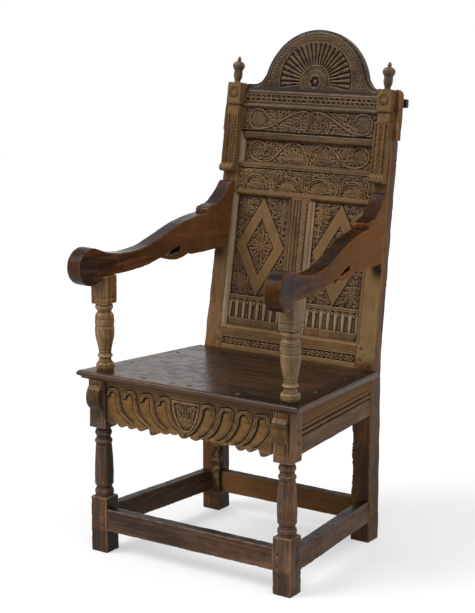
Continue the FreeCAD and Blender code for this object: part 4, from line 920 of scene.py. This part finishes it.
def lower_panel(side):
    """A lozenge of flat straps round a daisy, flowers in the corners, and a row of nulls below."""
    c = Canvas(26.0, 202.0, 56, 395, ground=-3.0)
    cx, cy = 113.0, 263.5
    across, up = np.abs(c.u - cx), np.abs(c.v - cy)
    lozenges = (72.5, 125.5), (40.5, 70.0)
    outer, inner = (half_w * (1 - up / half_h) - across for half_w, half_h in lozenges)
    bevel_in, bevel_out = 39.0, 187.5
    field = np.minimum(np.minimum(c.u - bevel_in, bevel_out - c.u), np.minimum(c.v - 138.5, 388.5 - c.v))
    c.h = np.minimum(c.h, -3.0 * step(-0.5, 0.5, np.minimum(field, -outer * 0.86)))
    c.h = np.minimum(c.h, -3.0 * step(-0.5, 0.5, inner * 0.86))
    corner_flowers(c, cx, cy)
    daisy(c, cx, cy)
    c.thicket(46 + side, spacing=8.6, length=11.5, half=3.3, below=0.5)
    # outside the carved fields the face is level again
    level = (np.minimum(field, -outer) < -0.6) & (inner < -0.6)
    c.form(level, 0.0)
    c.stipple(0.14, 0.8, 40 + side)
    c.h += (level & (outer > 0)) * 0.12 * rough(c.h.shape, 10, 44)
    for half_w, half_h in lozenges:
        left, right = (cx - half_w, cy), (cx + half_w, cy)
        c.groove([left, (cx, cy + half_h), right, (cx, cy - half_h), left], 1.4, 1.8)
    nulls(c)
    c.pale = np.where(level & (outer > 0), 1.05, 0.1 * (c.h > -0.9))
    reeds = (c.v > 80) & (c.v < 131)
    c.pale = np.where((c.v < 138) & (c.v > 66), np.where(reeds, 1.7, 0.45) * (c.h > -1.0), c.pale)
    # bevels that meet the muntin and the post
    c.form(c.u < bevel_in, np.minimum((bevel_in - c.u) * 0.3, 1.9))
    c.form(c.u > bevel_out, np.minimum((c.u - bevel_out) * 0.85, 6.9))
    c.h -= 0.5 * hatching(c) * ((c.u < 38) | (c.u > 188.5))
    out_pale, in_pale = (0.7, 1.7) if side > 0 else (1.9, 0.2)
    c.pale = np.where(c.u > 188, out_pale, np.where(c.u < 38.5, in_pale, c.pale))
    # painted shade in the creases at the feet of the bevels and on the deeper carved ground
    c.dark = 0.8 * (bell(c.u - 187.3, 0.9) + bell(c.u - 39.3, 0.9))
    c.darken(0.45 * ~level * (c.v > 138) * step(-0.9, -2.2, c.h))
    c.finish(50 + side, soft=0.5)
    if side < 0:
        c.flip()
    node = "lower_panel_" + ("left" if side < 0 else "right")
    return relief_piece(node + "_carved", [node], c, back_place, PANEL_BACK, PANEL_FACE)


def roundel(r, a):
    """Rings, a flat, and a star-shaped well with a boss: the heights, and the reach of the well."""
    disc = np.where(r < 42, -2.2, -99)
    disc = np.where(np.abs(r - 40.0) < 2.0, 0.8, disc)
    disc = np.where(np.abs(r - 34.6) < 1.6, 1.0, disc)
    disc = np.where(r < 31.5, 1.2, disc)
    disc = np.where(np.abs(r - 21.5) < 0.8, 0.5, disc)
    disc = np.where(np.abs(r - 16.8) < 1.3, 1.9, disc)
    well = 12.2 + 1.6 * np.cos(np.radians(a * 6))
    disc = np.where(r < well, -4.2, disc)
    return np.where(r < 6.4, -4.2 + 4.6 * dome(r / 6.4), disc), well


def pediment_edge(radius, middle, shoulder):
    """The upper edge of the pediment: a cove from each end up to the arch."""
    cove = smooth_line([(-HALF, 670.2), (-176, 670.5), (-166, 672.5), (-155, 680), (-shoulder, 696)], 8)
    low_end = math.degrees(math.asin(34 / radius))
    turns = math.radians(180 - low_end) - np.linspace(0, 1, 90) * (180 - 2 * low_end) / 360 * 2 * math.pi
    arch = np.column_stack([radius * np.cos(turns), middle + radius * np.sin(turns)])
    return np.vstack([cove[:-1], arch, (cove * [-1, 1])[::-1][1:]])


def pediment():
    """A half-round fan about a roundel, under a rim of small leaves."""
    face, bottom = 12.0, 641.0
    radius, middle = 148.0, 662.0
    c = Canvas(-HALF, HALF, bottom, middle + radius, ground=-5.0)
    shoulder = math.sqrt(radius ** 2 - 34.0 ** 2)
    edge = pediment_edge(radius, middle, shoulder)
    win, off, share, _ = c.near(edge, 60)
    length = np.hypot(*np.diff(edge, axis=0).T).sum()
    off_all = np.full(c.h.shape, 60.0)
    share_all = np.zeros(c.h.shape)
    off_all[win], share_all[win] = off, share
    fan_y = 681.5
    r = np.hypot(c.u, c.v - fan_y)
    a = np.degrees(np.arctan2(c.v - fan_y, c.u))
    a = np.where(a < -90, a + 360, a)
    # rim: a plain outer edge that falls away, a band of leaves, a fillet
    c.h -= 3.4 * step(11.5, 1.0, off_all)
    on_band = (off_all > 11.5) & (off_all < 26.5)
    phase = (share_all * length + 0.75 * np.abs(off_all - 19)) / 8.6
    leaf = np.abs(np.sin(phase * math.pi)) ** 0.7
    band = -2.2 + 2.0 * leaf * (0.55 + 0.45 * dome((off_all - 19) / 7.4))
    band -= 0.8 * bell(off_all - 19, 0.9)
    c.form(on_band, band)
    for at in (11.5, 27.0, 31.0):
        c.h -= 1.6 * bell(off_all - at, 1.0)
    # the fan: rods with rounded ends, and deep cuts between
    count, first, last = 23, -9.0, 189.0
    pitch = (last - first) / count
    place = (a - first) / pitch
    off_axis = np.abs(place - np.floor(place) - 0.5) * 2
    inside = (r > 36) & (r < 101.5) & (a > first) & (a < last) & (off_all > 33)
    half = np.clip(0.92 - 0.06 * (r - 40) / 60, 0.3, 0.95)
    rod = dome(off_axis / half)
    end = step(101.5, 97.5, r + 2.2 * off_axis ** 2)
    fan = -5.2 + 5.4 * rod * end
    c.form(inside, fan)
    disc, well = roundel(r, a)
    c.form((r < 42) & (c.v > 660), disc)
    # painted shade in the roundel's well and between the rods of the fan; darker along the outer edge and a
    # little all over
    c.dark = 0.85 * (r < well) * (r > 6.0) + 0.75 * step(9.5, 3.0, off_all)
    c.dark += inside * (0.22 + 0.5 * (1 - rod)) * (r < 103)
    c.dark = np.clip(c.dark + 0.28, 0, 0.9)
    c.pale = 0.12 * on_band * (band > -1.4)
    c.finish(17, wobble=0.3)
    # columns crowd together where the arch is steep
    turn = np.linspace(-math.pi / 2, math.pi / 2, int(430 / (1.0)))
    us = np.concatenate([np.linspace(-HALF, -shoulder, 52)[:-1],
                         shoulder * np.sin(turn), np.linspace(shoulder, HALF, 52)[1:]])
    order = np.argsort(edge[:, 0])
    tops = np.interp(us, edge[order, 0], edge[order, 1])
    on_arch = np.abs(us) < shoulder
    tops[on_arch] = middle + np.sqrt(radius ** 2 - us[on_arch] ** 2)
    return relief_piece("pediment_carved", ["crest_pediment"], c, back_place, 33.5, face,
                        outline={"across": us, "low": np.full(len(us), bottom), "top": tops})


def ear_canvas(side):
    """Beads and flutes on the left strip; two rows of scales about a rib on the right one."""
    x0, x1, low, high = HALF, POST, 446.0, 590.0
    foot, lane_wide = low + 19, 12.8
    c = Canvas(x0 - 2, x1 + 2, low - 2, high + 2, cell=0.8)
    u, v, mid = c.u, c.v, (x0 + x1) / 2
    body = v > foot
    if side < 0:
        lane = np.abs(((u - x0) / lane_wide) % 1 - 0.5) * 2
        c.form(body, -3.2 + 3.4 * dome(lane / 0.86))
        bead = np.abs(np.sin(v / 7.6 * math.pi))
        outer = u - x0 < lane_wide
        c.form(body & outer, c.h * 0.4 - 2.4 + 2.4 * bead ** 0.6)
        inner = u - x0 > 2 * lane_wide
        twist = np.clip(np.sin((v + u * 0.8) / 6.2 * 2 * math.pi), 0, 1) ** 2
        c.form(body & inner, c.h - 1.2 * twist)
    else:
        off = np.abs(u - mid)
        phase = ((v + off * 0.55) / 12.5) % 1
        scale = dome((off - 10.5) / 8.8) * (0.35 + 0.65 * phase ** 0.6)
        c.form(body, -3.8 + 3.9 * scale)
        c.form(body & (off < 2.2), -0.6 + 0.6 * dome(off / 2.2))
        c.form(body & (np.abs(off - 3.2) < 0.9), -3.6)
        teeth = (v < foot) & (v > low + 8)
        c.form(teeth, -0.4 - 1.8 * np.abs(np.sin((u - x0) / 9.6 * math.pi)) ** 3)
    c.finish(60 + side, soft=0.5, wobble=0.3)
    if side < 0:
        c.flip()
    return c


def block_canvas(side):
    """A roundel of two rings between scratched lines."""
    x0, x1 = HALF, POST
    c = Canvas(x0 - 2, x1 + 2, 588, 672, cell=0.8)
    mid = (x0 + x1) / 2
    r = np.hypot(c.u - mid, c.v - 643)
    a = np.arctan2(c.v - 643, c.u - mid)
    c.form(r < 14.5, -2.6)
    c.form(np.abs(r - 11.6) < 1.5, -0.1)
    c.form(r < 8.6, -2.4 + 2.0 * np.abs(np.cos(a * 3)) ** 0.5)
    c.form(r < 3.2, -0.4)
    for v in (618.5, 667.0):
        c.groove([(x0, v), (x1, v)], 0.9, 1.0)
    for x in (x0 + 2.6, x1 - 2.6):
        c.groove([(x, 618), (x, 667)], 0.8, 0.9)
    c.finish(70 + side, soft=0.5, wobble=0.2)
    if side < 0:
        c.flip()
    return c


# Carving of the apron

def inside_of(u, v, points):
    """Which places lie inside a closed outline."""
    hit = np.zeros(u.shape, bool)
    for (x0, y0), (x1, y1) in zip(points, points[1:] + points[:1]):
        if y0 != y1:
            hit ^= ((v > y0) != (v > y1)) & (u < x0 + (v - y0) * (x1 - x0) / (y1 - y0))
    return hit


# lower edge of the apron: middle, depth, reach to the left and to the right of each tooth
TEETH = ((-217, 8, 11, 11), (-190, 10, 13, 13), (-161, 10, 13, 13), (-133, 10, 13, 13), (-104, 15, 5, 24),
         (-64, 7, 14, 14), (-38, 4, 11, 11), (-11, 8, 14, 14), (22, 8, 15, 14), (50, 4, 12, 11),
         (74, 5, 12, 12), (98, 7, 13, 12), (122, 3, 10, 10), (147, 11, 14, 12), (172, 10, 12, 12),
         (203, 15, 6, 25))
# lines of the tongues left and right of the shield, as places from the middle of a tongue
LEFT = dict(
    rim=[(-12, 393), (-9, 400.5), (0, 404.5), (7, 401.5), (10.5, 393), (11, 378), (16, 363), (25, 350),
         (38, 340), (53, 332)],
    far=[(53, 322), (0, 322), (8, 337), (-7, 348), (-19, 362), (-26, 380), (-22, 389)],
    cut=[(-11, 412), (6, 414.5), (16.5, 411), (22, 400), (24, 380), (31, 362), (43, 348), (58, 337)],
    ridge=[(-10, 407), (0, 409.5), (10, 408), (16, 400), (17.5, 380), (23.5, 363), (34, 349), (48, 338)])
RIGHT = dict(
    rim=[(13.5, 392), (9, 401), (-1, 404.5), (-10, 400), (-13, 392), (-16, 380), (-22, 365), (-36, 345),
         (-52, 332)],
    far=[(-40, 322), (-16, 326), (-8, 339), (9, 358), (17, 375), (19, 388)],
    cut=[(-14, 411), (2, 413.8), (14, 413), (22.5, 405), (22, 390), (18, 375), (9, 358), (-8, 339),
         (-24, 331)],
    ridge=[(12, 407), (2, 409.5), (-9, 407), (-18, 396), (-22, 380), (-28, 364), (-42, 345), (-57, 332)])
LOBES = [(LEFT, x) for x in (-215, -165, -115.5, -66.5)] + [(RIGHT, x) for x in (56.5, 107, 156, 205)]


def tongues(c):
    """Hollow tongues under rounded ridges: where they lie, and a painted glint along the rims of the tongues
    left of the shield.
    """
    hollow, painted_glint = np.zeros(c.h.shape, bool), np.zeros(c.h.shape)
    for kind, x in LOBES:
        rim = smooth_line([(x + u, v) for u, v in kind["rim"]], 6)
        whole = [tuple(q) for q in rim] + [(x + u, v) for u, v in kind["far"]]
        win, d, t, _ = c.near(rim, 40)
        within = inside_of(c.u[win], c.v[win], whole)
        reach = 9 if kind is LEFT else 13
        dish = -0.9 - 4.2 * np.exp(-(d / reach) ** 1.4) * step(322, 340, c.v[win])
        c.lower(win, dish * step(0, 1.0, d), within)
        hollow[win] |= within
        # painted shadow under the arch of each hollow, and along its rim
        c.darken((0.95 * bell(d, 3.0) * (t < 0.4) + 0.45 * bell(d, 1.8)) * within, win)
        if kind is LEFT:
            # a painted glint beside the rim of each tongue left of the shield
            painted_glint[win] = np.maximum(painted_glint[win], bell(d - 1.5, 1.0) * step(0.34, 0.5, t) * ~within)
    for kind, x in LOBES:
        ridge, cut = (smooth_line([(x + u, v) for u, v in kind[line]], 6) for line in ("ridge", "cut"))
        c.band(ridge, 5.2, 0.5, 0.0, taper=lambda t: 1 - 0.25 * t)
        win, d, _, _ = c.near(cut, 10)
        # painted shade beside and in each V-cut
        c.darken(0.4 * step(9.0, 6, d), win)
        c.h[win] -= 3.0 * bell(d, 1.5)
        c.darken(0.95 * bell(d, 1.9), win)
    return hollow, painted_glint


def shield(c):
    """A shield with a rim, a sunk field and leaves in it: how far inside its edge each place lies."""
    top, point, mid = 407.0, 334.0, -4.0
    rise = np.clip((c.v - point) / (top - point), 0, 1)
    wide = 37.0 * np.sin(rise ** 0.75 * math.pi / 2) ** 0.9
    inside = np.minimum(wide - np.abs(c.u - mid), np.minimum((c.v - point) * 0.5, top - c.v))
    clear = inside > -4
    c.form(clear, np.minimum(0.3, 0.3 + 0.4 * inside))
    c.form(inside > 0, 0.3 - 3.2 * step(3.2, 4.6, inside))
    edge = bell(inside + 3.2, 1.0)
    c.h -= 1.6 * edge
    # painted shade in the groove round the shield and on its sunk field
    c.dark = np.where(clear, 0.75 * edge + 0.55 * (inside > 4.0), np.maximum(c.dark, 0.75 * edge))
    keep = c.h.copy()
    c.ground = -2.9
    for way in (-1, 1):
        for points, width in (([(0, 346), (7, 360), (17, 374), (24, 392)], 6.0),
                              ([(0, 366), (6, 380), (9, 398)], 4.6),
                              ([(3, 352), (13, 358), (22, 368)], 3.6),
                              ([(12, 384), (16, 396), (24, 401)], 3.4)):
            c.leaf(smooth_line([(mid + way * u, v) for u, v in points], 6), width, 0.1, 4)
        c.rosette(mid + way * 24, 396, 5.5, 6, 0.0)
    c.leaf(smooth_line([(mid, 346), (mid, 374), (mid, 402)], 6), 4.4, 0.4, 4)
    c.thicket(77, spacing=5, length=6, half=1.7, top=-0.6)
    c.h = np.where(inside > 4.4, c.h, keep)
    # the raised leaves keep little of the painted shade
    c.dark = np.where((inside > 4.0) & (c.h > -1.6), 0.08, c.dark)
    return inside


def apron():
    """Hollow tongues that sweep to a leafy shield from both sides, over a row of uneven teeth."""
    half, high = 236.0, 425.5
    c = Canvas(-half, half, 312, high, cell=0.9, ground=-4.0, start=-0.4)
    hollow, painted_glint = tongues(c)
    inside = shield(c)
    c.lines((417.5,), 1.0, 0.9)
    # a painted shadow at the ends, where the apron meets the legs
    c.darken(0.9 * step(229.5, 231, np.abs(c.u)))
    for middle in (-99, 209):
        c.darken(0.5 * step(326, 321, c.v) * (np.abs(c.u - middle) < 15))
    # lighter tongues, and the painted glints
    c.pale = np.where(inside < -4, np.maximum(0.75 * hollow, np.minimum(3.0 * painted_glint, 2)), 0)
    c.pale += 0.6 * (c.v > 414) + 0.25 * (c.v < 328)
    c.finish(18, wobble=0.3)
    us = np.linspace(-half, half, len(c.us))
    lows = np.full(len(us), 330.0)
    for x, deep, before, after in TEETH:
        q = np.clip(np.where(us < x, (x - us) / before, (us - x) / after), 0, 1)
        lows = np.minimum(lows, 330 - deep * dome(q))
    lows = np.convolve(np.pad(lows, 2, mode="edge"), np.full(5, 0.2), mode="valid")
    return relief_piece("apron_carved", ["front_apron_rail"], c, front_place, 28.0, 3.0,
                        outline={"across": us, "low": lows, "top": np.full(len(us), high)})


# The frame under the seat, arms and posts

SEAT_LOW = 0.41         # the seat hides the posts from here up


def foot_dark(co, normals):
    return 0.75 * np.clip(1 - co[:, 2] / 0.028, 0, 1)


def leg_dark(side):
    """Dirty feet; painted shade that makes the side of the left leg that looks to the right nearly black, and
    a painted shadow line on the front of the block beside the corbel.
    """
    def shade(co, normals):
        # painted shade on the side of the left leg that looks right
        inner = 0.88 * step(0.72, 0.96, normals[:, 0]) if side == "left" else 0.0
        stain = 0.6 * step(0.062, 0.05, co[:, 2]) * step(0.5, 0.9, -normals[:, 1])
        # a painted shadow line on the block's front beside the corbel
        beside = np.abs(np.abs(co[:, 0]) - (0.2755 if side == "right" else 0.236))
        corbel_shadow = 0.92 * step(0.0042, 0.0028, beside) * (co[:, 2] > 0.333) * (normals[:, 1] < -0.3)
        return np.maximum(np.maximum(foot_dark(co, normals), inner), np.maximum(stain, corbel_shadow))
    return shade


def leg_pale(side):
    """A worn arris down the foot block, and a lighter block at the top."""
    x = 0.283 if side == "right" else -0.236

    def shade(co, normals):
        off = np.hypot(co[:, 0] - x, co[:, 1] - FRONT)
        arris = bell(off, 0.0028) * step(0.14, 0.12, co[:, 2])
        block = 0.35 * step(0.309, 0.325, co[:, 2]) * (side == "right")
        return np.maximum(arris * np.clip(0.75 + 0.5 * waves(co, 0.04, 91), 0, 1), block)
    return shade


def rail_cuts(co, normals):
    """Scratched lines along the outer face of a side seat rail."""
    z = co[:, 2] / MM
    out = step(0.5, 0.9, np.abs(normals[:, 0])) * step(0.24, 0.25, np.abs(co[:, 0]))
    return out * sum(deep * bell(z - at, wide)
                     for at, wide, deep in ((388, 1.5, 0.8), (375.5, 2.0, 1.2), (364, 2.0, 1.2)))


def rail_pale(co, normals):
    return 0.75 * step(0.366, 0.376, co[:, 2]) + 0.25


def post_dark(side):
    """Dark feet; lower parts darker towards the floor, with painted shade on the faces that look inwards,
    painted shade on the left post's side that looks right below the seat, and a dark band under the rear end
    of the arm.
    """
    def shade(co, normals):
        # lower parts darker towards the floor, more as painted shade where they look inwards
        low = 0.25 + 0.4 * np.clip(-co[:, 0] * normals[:, 0] / 0.2, 0, 1)
        low *= np.clip((0.47 - co[:, 2]) / 0.1, 0, 1)
        if side == "left":
            # painted shade on the left post's side that looks right, below the seat
            inner = step(0.3, 0.8, normals[:, 0]) * step(SEAT_LOW, SEAT_LOW - 0.03, co[:, 2])
            low = np.maximum(low, 0.9 * inner)
        drop = bell(co[:, 2] - 0.668, 0.016) * step(0.210, 0.232, np.abs(co[:, 0]))
        return np.maximum(np.maximum(foot_dark(co, normals), low), 0.95 * drop * (normals[:, 1] < -0.3))
    return shade


def off_arris(co, side):
    """How far a place is from the front arris of a rear post that is eaten below the seat."""
    return np.hypot(co[:, 0] - (-0.203 if side == "left" else 0.200), co[:, 1] - (FRONT + 0.415))


def post_pale(side):
    """A light front, and bare wood where the arris is eaten away."""
    def shade(co, normals):
        front = np.clip(-normals[:, 1] * 2 - 0.6, 0, 1) * np.clip((co[:, 2] - 0.44) / 0.02, 0, 1)
        front *= (0.85 if side == "right" else 0.35) * np.clip((0.9 - co[:, 2]) / 0.1, 0, 1)
        bare = np.clip(1.6 - off_arris(co, side) / 0.011, 0, 1) * step(0.05, 0.07, co[:, 2])
        return np.maximum(front, bare * step(0.33, 0.22, co[:, 2]) * (1.0 if side == "left" else 0.3))
    return shade


def eaten(side):
    """The front arris of a rear post near the floor: on the inner side of the left one."""
    def where(co):
        reach = step(0.048, 0.06, co[:, 2]) * step(0.34, 0.24, co[:, 2])
        return np.clip(1.4 - off_arris(co, side) / 0.015, 0, 1) * reach * (1.0 if side == "left" else 0.45)
    return where


def scroll_sheen(co, normals):
    """A painted sheen on the front face of a scroll."""
    return step(0.7, 0.95, -normals[:, 1]) * step(-0.285, -0.305, co[:, 1])


def arm_dark(co, normals):
    """The scroll is nearly black, a little less where it has a painted sheen; painted shade makes the tops
    nearly black where they face up.
    """
    scroll = np.clip((-0.235 - co[:, 1]) / 0.07, 0, 1) * (1 - 0.3 * scroll_sheen(co, normals))
    return np.maximum(0.62 * scroll, 0.85 * np.clip(normals[:, 2] * 2.4 - 0.8, 0, 1))


def arm_pale(co, normals):
    """Lighter sides behind the scroll, and a painted sheen on its front."""
    sides = 0.8 * step(-0.26, 0.12, co[:, 1]) * np.clip(np.abs(normals[:, 0]) * 2 - 0.8, 0, 1)
    return np.maximum(sides, 0.3 * scroll_sheen(co, normals))


def seat_dark(co, normals):
    """Painted shade along the right side of the top, and at the right end of the front edge."""
    side = step(0.235, 0.272, co[:, 0] + 0.05 * (co[:, 1] + 0.277))
    front = step(-0.215, -0.245, co[:, 1]) * step(0.0, 0.2, co[:, 0])
    return np.maximum(side, 0.97 * front) * step(0.45, 0.75, normals[:, 2])


def seat_pale(co, normals):
    """The moulded edge is lighter than the top."""
    return step(0.6, 0.2, normals[:, 2]) * (0.9 - 0.4 * step(0.3, 0.8, -normals[:, 1]))


# Painted shade on the faces that look up.
def top_painted_shade(co, normals):
    return 0.92 * step(0.5, 0.8, normals[:, 2]) + 0.08


# Painted shade on the tops; the left stretcher is also darker all over.
def stretcher_dark(side):
    def shade(co, normals):
        return np.maximum(top_painted_shade(co, normals), 0.45 if side == "left" else 0.12)
    return shade


def corbel_dark(side):
    """The caps are lighter than the bellies; the left belly is darker still, as painted shade."""
    def shade(co, normals):
        belly = step(0.405, 0.400, co[:, 2])
        return belly * (0.55 if side == "left" else 0.15 + 0.5 * step(0.385, 0.398, co[:, 2]))
    return shade


def even(amount):
    return lambda co, normals: np.full(len(co), amount)


def side_pieces(side):
    """The worn pieces of a side: node, cell, tone, way of the grain, slot, and what else each takes."""
    left = side == "left"
    sign = -1 if left else 1
    return (
        ("front_leg", 1.4, "legs", "z", "oak_legs",
         dict(dark=leg_dark(side), pale=leg_pale(side),
              lines=(301.5, 297, 286, 273, 169.5, 163, 155.5, 149, 143.5))),
        ("rear_post", 1.7, "posts", "z", "oak_posts",
         dict(dark=post_dark(side), pale=post_pale(side), gnawed=eaten(side))),
        ("arm_support", 1.1, "supports", "z", "oak_supports",
         dict(pale=even(0.0 if left else 0.45), lines=(622, 610, 603, 577.5, 571, 495, 488, 475, 466, 457))),
        ("side_stretcher", 1.6, "rails", "y", "oak_legs", dict(dark=stretcher_dark(side))),
        ("side_seat_rail", 1.3, "rails", "y", "oak_posts", dict(soften=1, scored=rail_cuts, pale=rail_pale)),
        ("arm", 1.5, "arms" if left else "outer", "y", "oak_arms",
         dict(chips=0.5, dark=arm_dark, pale=arm_pale)),
        ("post_cheek", 1.2, "posts", "z", "oak_posts", {}),
        ("finial", 0.8, "back", "z", "oak_back", dict(wobble=0.1, finish=dict(gloss=0.26, shine=0.28))),
        ("crest_block", 0.9, "back", "z", "oak_back", dict(carving=block_canvas(sign), pale=even(0.85))),
        ("ear_strip", 0.9, "back", "z", "oak_back", dict(carving=ear_canvas(sign), pale=even(0.8))),
        ("leg_corbel", 1.0, "apron", "z", "oak_apron", dict(lines=(402,), dark=corbel_dark(side))),
        ("frieze_moulding", 0.9, "back", "z", "oak_back",
         dict(pale=even(1.7 if left else 0.6), finish=dict(lean=LEAN))))


MIDDLE_PIECES = (
    ("front_stretcher", 1.6, "legs", "x", "oak_legs", dict(dark=top_painted_shade)),
    ("rear_stretcher", 1.6, "rear", "x", "oak_legs", dict(dark=top_painted_shade, pale=even(0.8))),
    ("rear_seat_rail", 1.8, "posts", "x", "oak_posts", {}),
    ("seat_board", 2.3, "seat", "x", "oak_seat", dict(dark=seat_dark, pale=seat_pale, wobble=0.05)),
    ("crest_batten", 1.6, "rails", "x", "oak_posts", dict(dark=even(0.5))),
    ("frieze_moulding_top", 1.0, "back", "x", "oak_back", dict(dark=even(0.15))),
    ("frieze_moulding_bottom", 1.0, "back", "x", "oak_back", dict(pale=even(0.3))))


def lay(pieces, first_seed, ending=""):
    """Makes worn pieces, each with its own seed, and gives them their oak."""
    for seed, (node, voxel, which, along, slot, more) in enumerate(pieces, first_seed):
        finish = more.pop("finish", {})
        dress(aged(node + ending, voxel, seed, **more), tone(which, along, **finish))


for side, sign, first_seed in (("left", -1, 10), ("right", 1, 20)):
    lay(side_pieces(side), first_seed, "_" + side)
    dress(lower_panel(sign), tone("back", "z", LEAN))
lay(MIDDLE_PIECES, 221)
for carved in (bottom_rail(), lunette_rail(), frieze_panel()):
    dress(carved, tone("back", "x"))
for carved in (scroll_rail(), crest_rail(), pediment()):
    dress(carved, tone("upper", "x"))
dress(muntin(), tone("back", "z", LEAN))
dress(apron(), tone("apron", "x"))
for node, obj in frame["nodes"].items():
    if node.startswith("pegs"):
        dress(obj, tone("pegs", "y"))


# Floor, light and camera

def lay_floor():
    """A pale floor that looks light and gives back less light than it shows."""
    floor = new_piece("floor", [(-6, -6, 0), (6, -6, 0), (6, 6, 0), (-6, 6, 0)], [np.array([[0, 1, 2, 3]])])
    material = bpy.data.materials.new("studio_floor")
    paint = Nodes(material)
    shown = paint.seen()
    speck = paint.noise(paint.out("ShaderNodeTexCoord", socket="Object"), 3.0)
    colour = paint.mix(speck, (0.90, 0.90, 0.905, 1), (0.93, 0.93, 0.935, 1))
    colour = paint.mix(shown, (0.42, 0.42, 0.42, 1), colour)
    shader = paint.out("ShaderNodeBsdfPrincipled", {"Base Color": colour, "Roughness": 0.85,
                                                    "Specular IOR Level": 0.1})
    white = paint.out("ShaderNodeEmission", {"Color": (1, 1, 1, 1), "Strength": 1.0})
    both = paint.out("ShaderNodeMixShader", {0: paint.times(shown, 0.5), 1: shader, 2: white})
    paint.node("ShaderNodeOutputMaterial", {"Surface": both})
    floor.data.materials.append(material)


def light():
    """Three soft suns, and a sky that looks white and lights dimly."""
    for name, strength, wide, turn, tilt in (("key", 2.15, 30, -44, 46), ("fill", 0.9, 60, 72, 50),
                                             ("top", 0.8, 90, 0, 4)):
        sun = bpy.data.lights.new(name, "SUN")
        sun.energy = strength
        sun.angle = math.radians(wide)
        lamp = bpy.data.objects.new(name, sun)
        lamp.rotation_euler = (math.radians(tilt), 0, math.radians(turn))
        bpy.context.scene.collection.objects.link(lamp)
    world = bpy.data.worlds.new("studio")
    sky = Nodes(world)
    dim, white = (sky.out("ShaderNodeBackground", {"Color": (1, 1, 1, 1), "Strength": strength})
                  for strength in (0.42, 1.0))
    both = sky.out("ShaderNodeMixShader", {0: sky.seen(), 1: dim, 2: white})
    sky.node("ShaderNodeOutputWorld", {"Surface": both})
    bpy.context.scene.world = world


def look():
    """The camera of the photograph, fitted to the chair's straight edges."""
    focal, picture_high = 1665.05, 613          # in pixels
    lens = bpy.data.cameras.new("camera")
    lens.sensor_width = 36.0
    lens.lens = focal * lens.sensor_width / picture_high
    lens.clip_end = 40.0
    camera = bpy.data.objects.new("camera", lens)
    camera.location = (2.1510, FRONT - 2.9714, 1.3864)
    camera.rotation_euler = (math.radians(90 - 11.614), 0, math.radians(34.064))
    scene = bpy.context.scene
    scene.collection.objects.link(camera)
    scene.camera = camera
    scene.view_settings.view_transform = "Standard"


lay_floor()
light()
look()
